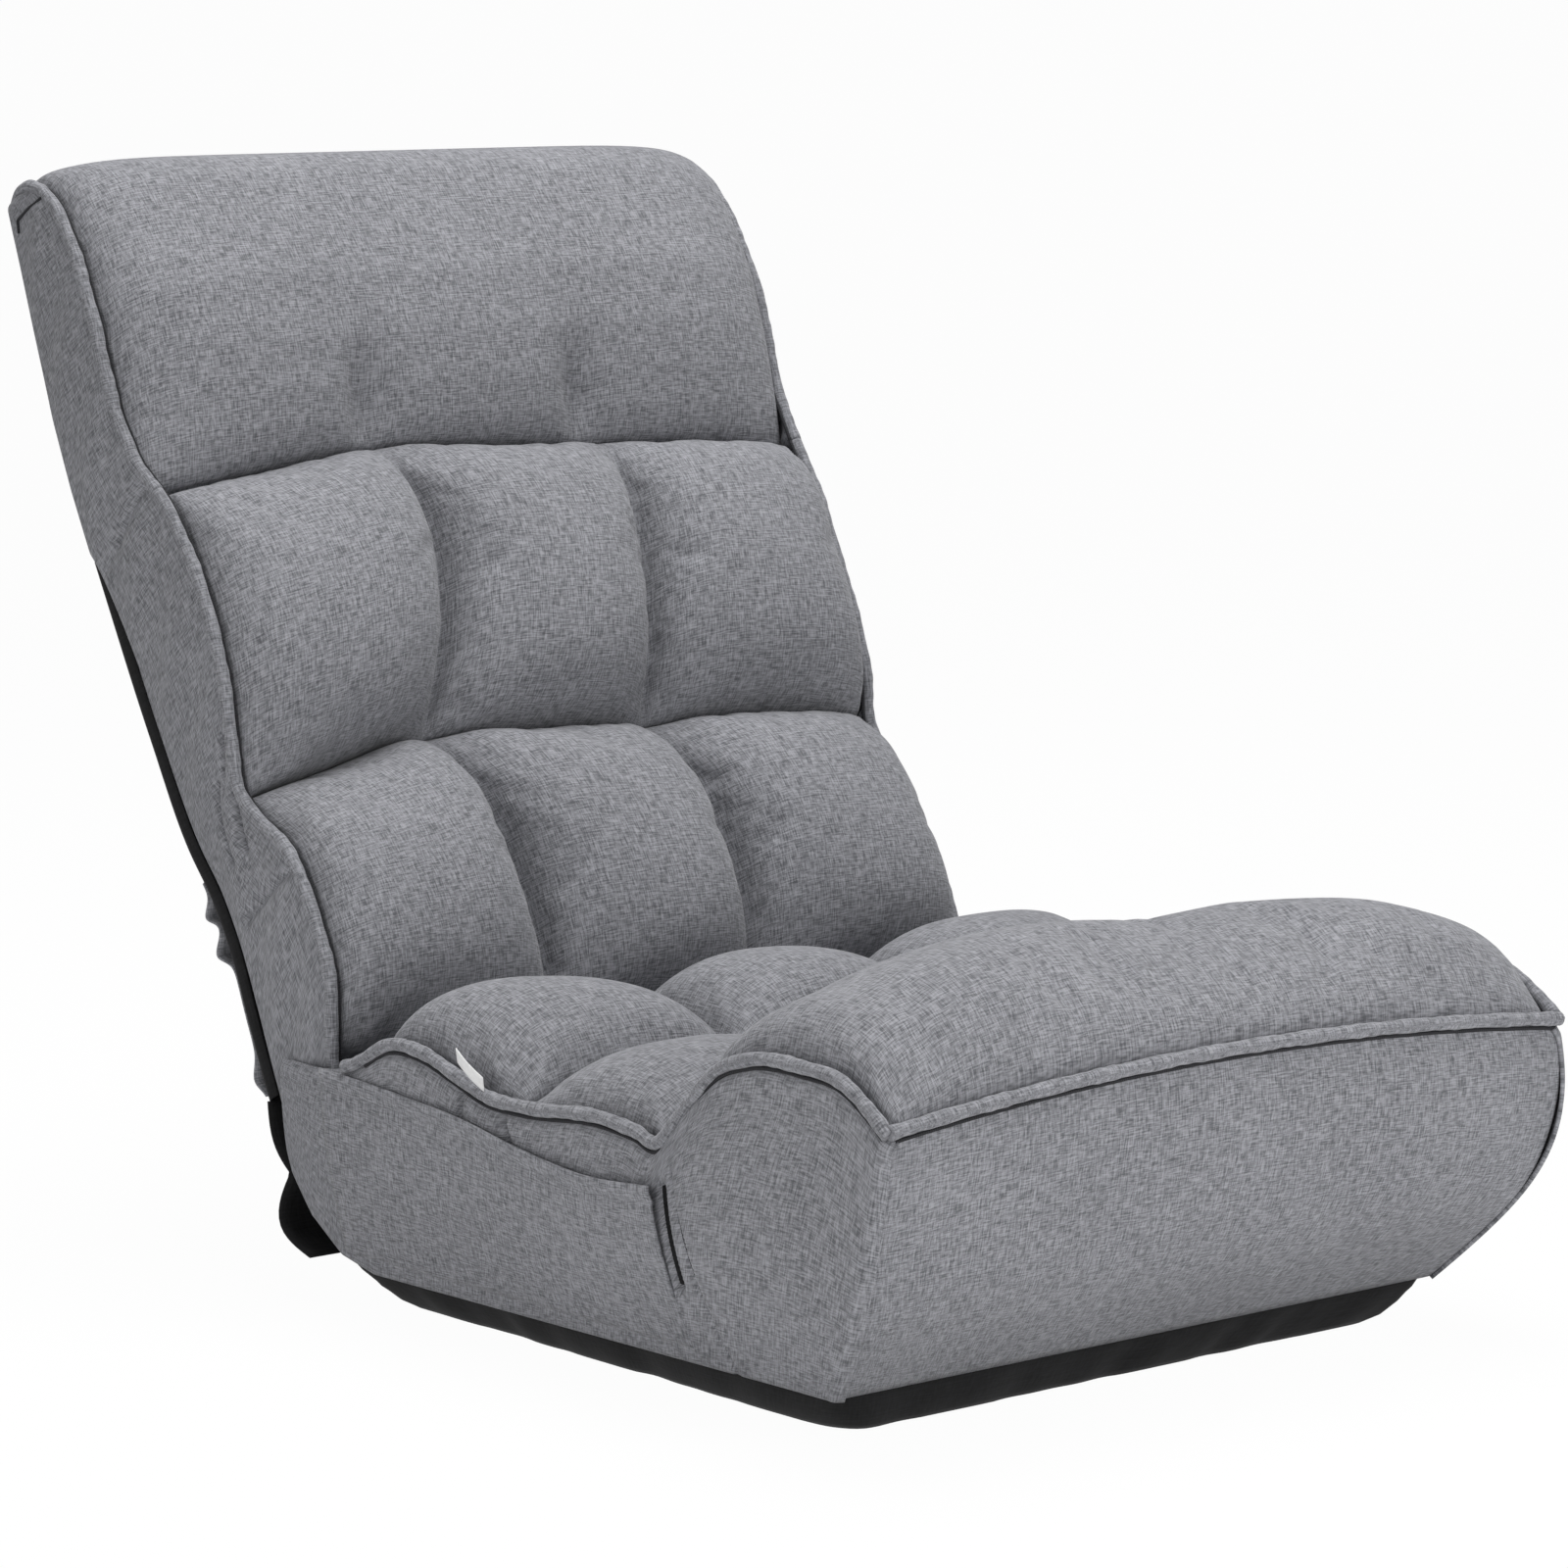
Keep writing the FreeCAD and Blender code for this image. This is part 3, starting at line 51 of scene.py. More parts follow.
class Shade:
    """One value in a material's nodes; arithmetic on it adds Math nodes."""

    def __init__(self, tree, socket):
        self.tree = tree
        self.socket = socket

    def node(self, kind, settings, sockets, output=0):
        """Add a node of a type: its settings first, then the values or links of its sockets."""
        made = self.tree.nodes.new(f"ShaderNode{kind}")
        for name, setting in settings.items():
            setattr(made, name, setting)
        for name, given in sockets.items():
            if isinstance(given, Shade):
                self.tree.links.new(given.socket, made.inputs[name])
            else:
                made.inputs[name].default_value = given
        return Shade(self.tree, made.outputs[output])

    def math(self, operation, first, second):
        return self.node("Math", {"operation": operation}, {0: first, 1: second})

    def tint(self, shader, share, dark, light):
        """Colour the shader by a share between two tones."""
        tone = self.node("Mix", {"data_type": "RGBA"}, {0: share, 6: (*dark, 1), 7: (*light, 1)}, 2)
        self.tree.links.new(tone.socket, shader.inputs["Base Color"])

    def emboss(self, shader, height, strength, distance):
        """Raise the shader's surface by a height, over a distance in metres."""
        bump = self.node("Bump", {}, {"Height": height, "Strength": strength, "Distance": distance})
        self.tree.links.new(bump.socket, shader.inputs["Normal"])

    def __add__(self, other):
        return self.math("ADD", self, other)

    def __sub__(self, other):
        return self.math("SUBTRACT", self, other)

    def __mul__(self, other):
        return self.math("MULTIPLY", self, other)


def new_material(name, roughness, even=()):
    """A material with its shader; even values go straight onto the shader's own sockets."""
    material = bpy.data.materials.new(name)
    material.use_nodes = True
    shader = material.node_tree.nodes["Principled BSDF"]
    shader.inputs["Roughness"].default_value = roughness
    for socket, number in even:
        shader.inputs[socket].default_value = number
    return material, shader, Shade(material.node_tree, None)


def woven(name, dark, light, pitch, contrast, roughness, relief, even=()):
    """Plain weave along the cloth's own threads: thick and thin yarns both ways, and a faint cloudiness."""
    fine, drawn, thick, slow = (share / pitch for share in (1, 0.12, 0.55, 0.05))
    clouds = 9.0
    material, shader, shade = new_material(name, roughness, even)
    place = shade.node("TexCoord", {}, {}, "UV")

    def yarns(lengthwise, crosswise, detail):
        spread = (crosswise, lengthwise, 1)
        scaled = shade.node("VectorMath", {"operation": "MULTIPLY"}, {0: place, 1: spread})
        return shade.node("TexNoise", {}, {"Vector": scaled, "Scale": 1.0, "Detail": detail})

    warp = yarns(drawn, fine, 2.0)
    weft = yarns(fine, drawn, 2.0)
    slubs = yarns(slow, thick, 1.0) + yarns(thick, slow, 1.0) - 1.0
    cloud = yarns(clouds, clouds, 3.0)
    thread = warp + weft - 1.0
    tone = thread * contrast + slubs * (0.45 * contrast) + (cloud - 0.5) * 0.3 + 0.5
    shade.tint(shader, tone, dark, light)
    shade.emboss(shader, thread, 0.5, relief)
    return material


black_cloth = woven(
    "black_cloth", dark=(0.002, 0.002, 0.002), light=(0.011, 0.011, 0.012), pitch=0.0016, contrast=1.5,
    roughness=0.85, relief=0.0003, even=[("Specular IOR Level", 0.2)])
BLACK_WALL = 0.0015


def evenly(path, count):
    """A path of points, taken again at even steps along its length."""
    path = np.asarray(path, float)
    length = np.concatenate([[0], np.cumsum(np.linalg.norm(np.diff(path, axis=0), axis=1))])
    at = np.linspace(0, length[-1], count)
    return np.column_stack([np.interp(at, length, column) for column in path.T])


def placed(name, data):
    """A new object in the scene."""
    made = bpy.data.objects.new(name, data)
    bpy.context.collection.objects.link(made)
    return made


def add_piece(name, points, faces, lengths, material):
    """A mesh piece; lengths gives each point's place on the flat cloth, in metres."""
    mesh = bpy.data.meshes.new(name)
    mesh.from_pydata(points.tolist(), [], faces)
    layer = mesh.uv_layers.new(name="cloth")
    corners = np.zeros(len(mesh.loops), np.int32)
    mesh.loops.foreach_get("vertex_index", corners)
    layer.data.foreach_set("uv", lengths[corners].astype(np.float32).ravel())
    shell = bmesh.new()
    shell.from_mesh(mesh)
    bmesh.ops.recalc_face_normals(shell, faces=shell.faces)
    shell.to_mesh(mesh)
    shell.free()
    mesh.shade_smooth()
    mesh.materials.append(material)
    return placed(name, mesh)


def cloth_lengths(grid):
    """Mean lengths along the columns and rows of a grid of points, as if it lay flat."""
    across = np.linalg.norm(np.diff(grid, axis=1), axis=2).mean(axis=0)
    along = np.linalg.norm(np.diff(grid, axis=0), axis=2).mean(axis=1)
    across, along = (np.concatenate([[0], np.cumsum(steps)]) for steps in (across, along))
    return np.stack(np.meshgrid(across - across[-1] / 2, along), axis=2).reshape(-1, 2)


def grid_faces(rows, columns, looped):
    """Quads of a grid whose points are numbered row by row."""
    faces = []
    for row in range(rows - 1):
        for column in range(columns if looped else columns - 1):
            right = (column + 1) % columns
            low, high = row * columns, (row + 1) * columns
            faces.append((low + column, low + right, high + right, high + column))
    return faces


def closed_shell(name, face, back, material, looped=False):
    """A closed piece: a grid of points on its face, the same grid on its back, and walls round the edges."""
    rows, columns = face.shape[:2]
    count = rows * columns
    points = np.concatenate([face.reshape(-1, 3), back.reshape(-1, 3)])
    faces = grid_faces(rows, columns, looped)
    faces += [tuple(count + corner for corner in reversed(quad)) for quad in faces]
    rims = [[row * columns + column for column in range(columns)] for row in (0, rows - 1)]
    if looped:
        rims = [rim + rim[:1] for rim in rims]
    else:
        rims += [[row * columns + column for row in range(rows)] for column in (0, columns - 1)]
    for rim in rims:
        faces += [(a, b, count + b, count + a) for a, b in zip(rim, rim[1:])]
    lengths = cloth_lengths(face)
    return add_piece(name, points, faces, np.concatenate([lengths, lengths]), material)


def thick_cloth(name, grid, wall, material, looped=False):
    """A sheet with its face on a grid of points and its back a wall behind it."""
    across = np.gradient(grid, axis=1)
    if looped:
        across = np.roll(grid, -1, axis=1) - np.roll(grid, 1, axis=1)
    normal = np.cross(across, np.gradient(grid, axis=0))
    normal /= np.linalg.norm(normal, axis=2, keepdims=True) + 1e-12
    return closed_shell(name, grid, grid - normal * wall, material, looped)


def belongs(piece, node, body):
    """Put a piece in place of a CAD node and its body."""
    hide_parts(node)
    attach(piece, body)


def rounded_loop(half, front, rear, radius, count):
    """Outline of the base at one level: a rectangle with round corners, evenly stepped."""
    quarter = np.linspace(0, math.pi / 2, 12)
    outline = []
    corners = [(half, rear, 0), (-half, rear, 1), (-half, -front, 2), (half, -front, 3)]
    for x, y, turn in corners:
        middle = np.array([x - math.copysign(radius, x), y - math.copysign(radius, y)])
        angles = quarter + turn * math.pi / 2
        outline += [middle + radius * np.array([math.cos(a), math.sin(a)]) for a in angles]
    outline.append(outline[0])
    return evenly(outline, count + 1)[:-1]


HEM_STEPS = 360
hem_rows = [
    # half width, front, rear, corner, height, share of the waves
    (0.002, 0.002, 0.002, 0.001, 0.0015, 0.0),
    (0.150, 0.150, 0.150, 0.025, 0.0015, 0.0),
    (0.235, 0.240, 0.235, 0.030, 0.0008, 0.2),
    (0.258, 0.252, 0.252, 0.026, 0.0010, 0.5),
    (0.266, 0.259, 0.258, 0.022, 0.0060, 0.8),
    (0.274, 0.265, 0.268, 0.018, 0.0150, 1.0),
    (0.281, 0.271, 0.280, 0.014, 0.0260, 0.8),
    (0.285, 0.275, 0.290, 0.012, 0.0360, 0.3),
    (0.284, 0.274, 0.290, 0.012, 0.0460, 0.1),
]
turn = np.linspace(0, 2 * math.pi, HEM_STEPS, endpoint=False)
waves = 0.0020 * np.sin(11 * turn + 0.6) + 0.0014 * np.sin(23 * turn + 2.0) + 0.0009 * np.sin(41 * turn)
levels = []
for half, front, rear, radius, height, share in hem_rows:
    loop = rounded_loop(half, front, rear, radius, HEM_STEPS)
    out = loop / np.linalg.norm(loop, axis=1, keepdims=True)
    loop = loop + out * (waves * share)[:, None]
    levels.append(np.column_stack([loop, np.full(HEM_STEPS, height) + 0.25 * np.abs(waves) * share]))
bottom_cloth = thick_cloth("bottom_cloth_hem", np.array(levels), BLACK_WALL, black_cloth, looped=True)
belongs(bottom_cloth, "bottom_cloth", "seat")


# Steel inside the chair: bent tube frames and stamped ratchet hinges, zinc plated.
# The tubes are welded to the hinge arms; rivets hold the plates, the pawl and its spring together.

def plated_steel(name, tone, roughness):
    """Bright zinc with the drawn lines of tube and sheet, and a cloudy passivated film."""
    material, shader, shade = new_material(name, roughness, [("Metallic", 1.0)])
    place = shade.node("TexCoord", {}, {}, "Object")
    film = shade.node("TexNoise", {}, {"Vector": place, "Scale": 60.0, "Detail": 4.0})
    stretched = shade.node("VectorMath", {"operation": "MULTIPLY"}, {0: place, 1: (900.0, 90.0, 90.0)})
    drawn = shade.node("TexNoise", {}, {"Vector": stretched, "Scale": 1.0, "Detail": 2.0})
    dull = tuple(0.72 * part for part in tone)
    cloudy, lined = 0.2, 0.1
    uneven = film * cloudy + drawn * lined + (roughness - (cloudy + lined) / 2)
    shade.tint(shader, film, dull, tone)
    shade.tree.links.new(uneven.socket, shader.inputs["Roughness"])
    shade.emboss(shader, drawn, 0.2, 0.0002)
    return material


def finish_nodes(material, *names):
    """Give carried CAD nodes their material."""
    for name in names:
        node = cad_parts[name]
        node.data.materials.clear()
        node.data.materials.append(material)


frame_tube = plated_steel("frame_tube", (0.42, 0.43, 0.45), 0.38)
hinge_zinc = plated_steel("hinge_zinc", (0.58, 0.58, 0.56), 0.32)
finish_nodes(frame_tube, "seat_frame", "back_frame", "head_frame")
for hinge, arms in (("recline", ("recline_seat_arm", "recline_back_arm")),
                    ("headrest", ("headrest_back_arm", "headrest_arm"))):
    sided = [f"{piece}_{side}" for piece in (*arms, f"{hinge}_cover") for side in ("left", "right")]
    shared = [f"{hinge}_{piece}" for piece in ("pivot_rivets", "pawls", "pawl_springs", "pawl_rivets")]
    finish_nodes(hinge_zinc, *sided, *shared)


# Elastic straps: black rubber-cored webbing stretched over the seat frame's front and rear tubes.
# They stay as the frame has them, with a ribbed weave along their length.

def ribbed(name, place, scale, wobble, dark, light, relief, even=()):
    """Webbing or twisted thread: bands across its length in two tones."""
    material, shader, shade = new_material(name, 0.8, even)
    spot = shade.node("TexCoord", {}, {}, place)
    bands = {"Vector": spot, "Scale": scale, "Distortion": wobble}
    rib = shade.node("TexWave", {"bands_direction": "Y"}, bands)
    shade.tint(shader, rib, dark, light)
    if relief:
        shade.emboss(shader, rib, 0.5, relief)
    return material


strap_web = ribbed("strap_web", "Object", scale=120.0, wobble=0.4, dark=(0.010, 0.010, 0.011),
                   light=(0.05, 0.05, 0.052), relief=0.0004)
finish_nodes(strap_web, "seat_webbing")


# Foam: cut blocks of cream polyurethane on each frame, under the tufted pads.
# The knife leaves open cells on the faces and slightly soft edges.

foam, foam_shader, foam_shade = new_material("foam", 0.95)
foam_place = foam_shade.node("TexCoord", {}, {}, "Object")
cells = foam_shade.node("TexVoronoi", {}, {"Vector": foam_place, "Scale": 900.0})
age = foam_shade.node("TexNoise", {}, {"Vector": foam_place, "Scale": 12.0, "Detail": 3.0})
foam_shade.tint(foam_shader, age, (0.62, 0.54, 0.38), (0.78, 0.73, 0.60))
foam_shade.emboss(foam_shader, cells, 0.6, 0.0006)


def leaning(axis, degrees, x, along, out):
    """Points of a leaning part: along it from its hinge, and out in front of its frame."""
    angle = math.radians(degrees)
    y = axis[1] + along * math.sin(angle) - out * math.cos(angle)
    z = axis[2] + along * math.cos(angle) + out * math.sin(angle)
    return np.stack(np.broadcast_arrays(x, y, z), axis=-1)


def on_back(x, along, out):
    """A place on the backrest, which leans on the recline hinge."""
    return leaning((0.0, 0.275, 0.120), 30, x, along, out)


def on_head(x, along, out):
    """A place on the headrest, which leans on its own hinge."""
    return leaning((0.0, 0.540, 0.578993), 20, x, along, out)


def foam_block(name, node, body, top, floor):
    """A cut block in place of a CAD node, with its edges eased."""
    block = closed_shell(name, top, floor, foam)
    bevel = block.modifiers.new("eased", "BEVEL")
    bevel.width = 0.004
    bevel.segments = 2
    bevel.limit_method = "ANGLE"
    belongs(block, node, body)


foam_s, foam_t = np.meshgrid(np.linspace(-1, 1, 24), np.linspace(0, 1, 20))
dome = 0.003 * (1 - foam_s**2) * (1 - (2 * foam_t - 1) ** 2)
foam_x = 0.298 * foam_s
foam_block("seat_foam_block", "seat_foam", "seat",
           np.dstack([0.300 * foam_s, -0.322 + 0.516 * foam_t, 0.144 + dome]),
           np.dstack([0.256 * foam_s, -0.245 + 0.385 * foam_t, np.full_like(foam_s, 0.0285)]))
back_up = 0.045 + 0.435 * foam_t
foam_block("back_foam_block", "back_foam", "backrest",
           on_back(foam_x, back_up, 0.018 + 0.5 * dome), on_back(foam_x, back_up, 0.0115))
head_up = 0.045 + 0.150 * foam_t
foam_block("head_foam_block", "head_foam", "headrest",
           on_head(foam_x, head_up, 0.026 + dome), on_head(foam_x, head_up, 0.0100))


# Seat side panels: heathered grey linen-look cloth over thin wadding, one on each side.
# They are sewn to the piping above, to the front panel at the corner, and tucked into the black hem below.

grey_heather = woven(
    "grey_heather", dark=(0.105, 0.107, 0.117), light=(0.325, 0.328, 0.352), pitch=0.0010, contrast=1.95,
    roughness=0.92, relief=0.0006,
    even=[("Sheen Weight", 0.15), ("Sheen Roughness", 0.5), ("Specular IOR Level", 0.12)])
PANEL_WALL = 0.003
PANEL_FOOT = 0.034
FRONT_SEAM = 0.231
SIDES = ("left", 1), ("right", -1)


def smooth_line(knots, at):
    """A smooth curve through knots of place and value, read at other places."""
    place, value = np.array(knots, float).T
    slope = np.gradient(value, place)
    index = np.clip(np.searchsorted(place, at) - 1, 0, len(place) - 2)
    run = place[index + 1] - place[index]
    t = np.clip((at - place[index]) / run, 0, 1)
    keep, go = 2 * t**3 - 3 * t**2 + 1, t**3 - 2 * t**2 + t
    return (keep * value[index] + go * run * slope[index]
            + (1 - keep) * value[index + 1] + (t**3 - t**2) * run * slope[index + 1])


side_top_knots = [  # along the seat, height of the piping
    (-0.366, FRONT_SEAM), (-0.350, 0.243), (-0.322, 0.259), (-0.280, 0.264), (-0.225, 0.261), (-0.188, 0.246),
    (-0.161, 0.219), (-0.139, 0.193), (-0.110, 0.196), (-0.074, 0.199), (0.014, 0.193), (0.059, 0.194),
    (0.094, 0.203), (0.140, 0.214), (0.175, 0.214), (0.212, 0.197), (0.250, 0.190), (0.308, 0.190),
]
side_foot_path = [  # along the seat, height
    (-0.2785, PANEL_FOOT), (0.225, PANEL_FOOT), (0.262, 0.043), (0.290, 0.069), (0.305, 0.099),
    (0.308, 0.116)]
UPRIGHT_SEAM = (-0.155, 0.175), (-0.180, PANEL_FOOT)
POCKET_SLIT = (-0.1435, 0.162), (-0.1475, 0.094)
side_folds = [
    # depth, upper end, lower end, width: two creases below the piping, the pocket's slit, the upright seam
    (0.0070, (0.086, 0.206), (0.086, 0.172), 0.0028),
    (0.0070, (0.042, 0.192), (0.028, 0.164), 0.0028),
    (0.0130, *POCKET_SLIT, 0.0046),
    (0.0024, *UPRIGHT_SEAM, 0.0017),
]


def declare_cloth(grid):
    """Cross the diagonals of each cell of a sheet's grid; the result is not used."""
    one = np.cross(grid[1:, 1:] - grid[:-1, :-1], grid[1:, :-1] - grid[:-1, 1:])


def arch(share):
    """A swelling: 0 at both ends and 1 midway."""
    return np.sin(share * math.pi)


def mound(at, place, width):
    """A smooth rise: 1 at a place, fading out over a width."""
    return np.exp(-(((at - place) / width) ** 2))


def side_reach(along, height):
    """How far out the side panel stands: full beside the bolster, drawn in at the base and the rear."""
    rise = np.clip((height - 0.03) / 0.20, 0, 1)
    fullness = np.clip((0.22 - along) / 0.45, 0, 1)
    low = 0.286 + 0.012 * (1 - fullness)
    swell = arch(rise) * (0.006 + 0.010 * fullness)
    return low + (0.320 - low) * np.sin(rise * math.pi / 2) + swell


def fold_line(across, along, start, end, width):
    """Nearness to a sewn or folded line from start to end: 1 on it, fading out over its width."""
    line = np.subtract(end, start)
    share = np.clip(((across - start[0]) * line[0] + (along - start[1]) * line[1]) / line.dot(line), 0, 1)
    gap = np.hypot(across - start[0] - share * line[0], along - start[1] - share * line[1])
    return mound(gap, 0, width)


ROWS, COLUMNS = 60, 400
foot_path = evenly(side_foot_path, COLUMNS)
PIPING_GAP = 0.006
top_along = np.linspace(side_top_knots[0][0], side_top_knots[-1][0], COLUMNS)
top_path = np.column_stack([top_along, smooth_line(side_top_knots, top_along) - PIPING_GAP])
rise = np.linspace(0, 1, ROWS)[:, None]
side_yz = foot_path[None] * (1 - rise[..., None]) + top_path[None] * rise[..., None]
near_front = np.linspace(1, 0, COLUMNS) ** 8
side_yz[..., 0] -= 0.030 * arch(rise) * near_front
y, z = side_yz[..., 0], side_yz[..., 1]
ripple = 0.0006 * np.sin(y * 90 + 8 * z) * arch(rise)
turned_in = 0.0040 * mound(z, top_path[None, :, 1], 0.004)
corner_seam = 0.0060 * mound(np.arange(COLUMNS) * 0.0017, 0, 0.0025)[None]
side_x = side_reach(y, z) + ripple - turned_in - corner_seam
for depth, upper_end, lower_end, width in side_folds:
    side_x = side_x - depth * fold_line(y, z, upper_end, lower_end, width)
for side, sign in SIDES:
    side_grid = np.dstack([sign * side_x, side_yz])
    side_panel = thick_cloth(f"seat_side_cloth_{side}", side_grid[:, ::-sign], PANEL_WALL, grey_heather)
    belongs(side_panel, f"seat_side_panel_{side}", "seat")
    declare_cloth(side_grid)


# Front panel: one cut of the grey cloth below the bolster, between the two corner seams.
# It bellies forward over the foam and runs back to the hem at its foot.

def front_arch(share):
    """Rise of the front seam towards mid-width."""
    return 0.018 * (1 - share**2)


front_share = np.sin(np.linspace(-math.pi / 2, math.pi / 2, 200))[None]
front_rise = np.linspace(0, 1, 34)[:, None]
front_section = [  # share of the way up, place along the seat
    (0.0, -0.2785), (0.12, -0.300), (0.35, -0.336), (0.6, -0.356), (0.85, -0.3665), (1.0, -0.366)]
front_height = PANEL_FOOT + front_rise * (FRONT_SEAM + front_arch(front_share) - PANEL_FOOT)
corner_height = PANEL_FOOT + front_rise * (FRONT_SEAM - PANEL_FOOT)
corner_y = smooth_line(front_section, front_rise)
front_reach = side_reach(corner_y, corner_height)
front_belly = 0.006 * arch(front_rise) * (1 - front_share**4)
front_ripple = 0.0012 * np.sin(front_share * 17 + 3 * front_rise) * arch(front_rise)
front_seams = 0.006 * np.abs(front_share) ** 130 + 0.004 * front_rise**40
front_y = corner_y - front_belly + front_ripple + front_seams
front_grid = np.dstack([front_share * front_reach, front_y, front_height])
front_cloth = thick_cloth("front_cloth", front_grid, PANEL_WALL, grey_heather)
belongs(front_cloth, "front_panel", "seat")
declare_cloth(front_grid)


# Seat cushions: two rows of three fibre-filled pillows and a fat bolster along the front edge.
# Each row is one cover, sewn down along its seams and across its two channels.

def stuff(piece, sewn, reach, pressure=4.0, spare=0.02):
    """Press the cover out between its seams by cloth simulation; sewn points stay where they are."""
    frames = 20
    count = len(piece.data.vertices)
    fixed = np.ones(count, bool)
    fixed[:sewn.size] = sewn.ravel()
    seams = piece.vertex_groups.new(name="seams")
    seams.add(np.flatnonzero(fixed).tolist(), 1.0, "REPLACE")
    cloth = piece.modifiers.new("stuffing", "CLOTH")
    cloth.settings.vertex_group_mass = "seams"
    cloth.settings.use_pressure = True
    cloth.settings.uniform_pressure_force = pressure
    cloth.settings.shrink_min = -spare
    cloth.settings.quality = 4
    cloth.settings.effector_weights.gravity = 0
    cloth.point_cache.frame_start = 1
    cloth.point_cache.frame_end = frames
    for step in range(1, frames + 1):
        bpy.context.scene.frame_set(step)
    settled = piece.evaluated_get(bpy.context.evaluated_depsgraph_get()).data
    after = np.zeros(count * 3, np.float32)
    settled.vertices.foreach_get("co", after)
    before = np.zeros(count * 3, np.float32)
    piece.data.vertices.foreach_get("co", before)
    move = (after - before).reshape(-1, 3)
    length = np.linalg.norm(move, axis=1, keepdims=True)
    move *= np.minimum(1, reach / np.maximum(length, 1e-9))
    piece.modifiers.remove(cloth)
    piece.vertex_groups.remove(seams)
    piece.data.vertices.foreach_set("co", (before + move.ravel()).astype(np.float32))
    bpy.context.scene.frame_set(1)
    piece.data.update()
    smooth = piece.modifiers.new("smooth", "SUBSURF")
    smooth.levels = smooth.render_levels = 1


CHANNEL = 1 / 3
ACROSS = np.linspace(-1, 1, 121)


def three_pillows(share, round_off, depth):
    """Fullness across a row of three pillows, from its two ends to the channels between them."""
    within = np.mod(share + 1, 2 * CHANNEL) / CHANNEL - 1
    full = np.clip(1 - np.abs(within) ** round_off, 0, 1) ** 0.55
    ends = np.abs(share) > 1 - 1e-6
    channel = np.where(np.abs(share) > 2 * CHANNEL, 0, depth) * np.ones_like(full)
    return np.where(ends, 0, channel + (1 - channel) * full)


def crown(share, round_off):
    """Fullness from one seam to the next, for share from 0 to 1."""
    return np.clip(1 - np.abs(2 * share - 1) ** round_off, 0, 1) ** 0.55


def sewn_down(rows, channel_rows):
    """Which points of a cover are held: its edges, and its two channels for a number of rows."""
    held = np.zeros((rows, ACROSS.size), bool)
    held[[0, -1]] = True
    held[:, [0, -1]] = True
    for place in (-CHANNEL, CHANNEL):
        held[:channel_rows, np.argmin(np.abs(ACROSS - place))] = True
    return held


def row_of_pillows(name, node, body, top, floor, reach):
    """A cover with its filling in place of a CAD node, sewn down along its edges and channels."""
    pad = closed_shell(name, top, floor, grey_heather)
    stuff(pad, sewn_down(len(top), len(top)), reach)
    belongs(pad, node, body)


SEAT_END = 0.3135
SEAT_SWELL = 0.022  # the furthest that a point may be pressed out
SEAT_SEAM = 0.190
PAD_FLOOR = 0.1503
GROOVE = 0.006  # how far the covers sink below the piping


def seat_row(name, node, front, rear, seam_heights, crest):
    """One row of three pillows between two seams of the seat."""
    s, t = np.meshgrid(ACROSS, np.linspace(0, 1, 37))
    y = front + (rear - front) * t
    edge = smooth_line(side_top_knots, y) - GROOVE
    seam = seam_heights[0] + (seam_heights[1] - seam_heights[0]) * t
    sewn_level = seam + (edge - seam) * np.abs(s) ** 7
    swell = (crest - seam) * three_pillows(s, 2.7, 0.16) * crown(t, 2.5)
    uneven = 0.0020 * np.sin(9 * s + 5 * t) * crown(t, 2)
    top = np.dstack([SEAT_END * s, y, sewn_level + swell + uneven * (1 - s**8)])
    base = np.dstack([SEAT_END * s, y, np.full_like(s, PAD_FLOOR)])
    row_of_pillows(name, node, "seat", top, base, SEAT_SWELL)


seat_row("seat_rear_cushion", "seat_rear_pad", front=0.0303, rear=0.2060,
         seam_heights=(SEAT_SEAM, 0.168), crest=0.252)
seat_row("seat_front_cushion", "seat_front_pad", front=-0.1367, rear=0.0300,
         seam_heights=(SEAT_SEAM, SEAT_SEAM), crest=0.232)

BOLSTER_REAR, BOLSTER_FRONT, BOLSTER_FOOT = -0.137, -0.3635, -0.340
BOLSTER_ROWS = 61
s, t = np.meshgrid(ACROSS, np.linspace(0, 1, BOLSTER_ROWS))
bolster_y = BOLSTER_REAR + (BOLSTER_FRONT - BOLSTER_REAR) * t
side_level = smooth_line(side_top_knots, bolster_y) - GROOVE
front_level = SEAT_SEAM + (0.236 + front_arch(s) - SEAT_SEAM) * t
sewn_level = front_level + (side_level - front_level) * np.abs(s) ** 9
round_end = np.clip(1 - np.abs(s) ** 4.5, 0, 1) ** 0.5
humps = smooth_line([(-1, 1.0), (-0.5, 0.96), (0.1, 0.81), (0.35, 0.84), (0.7, 0.92), (1, 0.94)], s)
swell = 0.108 * round_end * humps * np.clip(1 - np.abs(2 * t - 1) ** 2.3, 0, 1) ** 0.6
forward = 0.010 * arch(t) * round_end
bolster_top = np.dstack([SEAT_END * s, bolster_y - forward, sewn_level + swell])
bolster_under = BOLSTER_REAR + (BOLSTER_FOOT - BOLSTER_REAR) * t
bolster_floor = np.dstack([SEAT_END * s, bolster_under, np.full_like(s, PAD_FLOOR)])
bolster = closed_shell("front_bolster", bolster_top, bolster_floor, grey_heather)
stuff(bolster, sewn_down(BOLSTER_ROWS, 0), SEAT_SWELL)
belongs(bolster, "front_bolster_pad", "seat")


# Seat piping: a cord in a bias strip of the same cloth, sewn in along the top of each side and the front.
# It wrinkles where it turns and where the seams pull it in.

PIPING = 0.0050


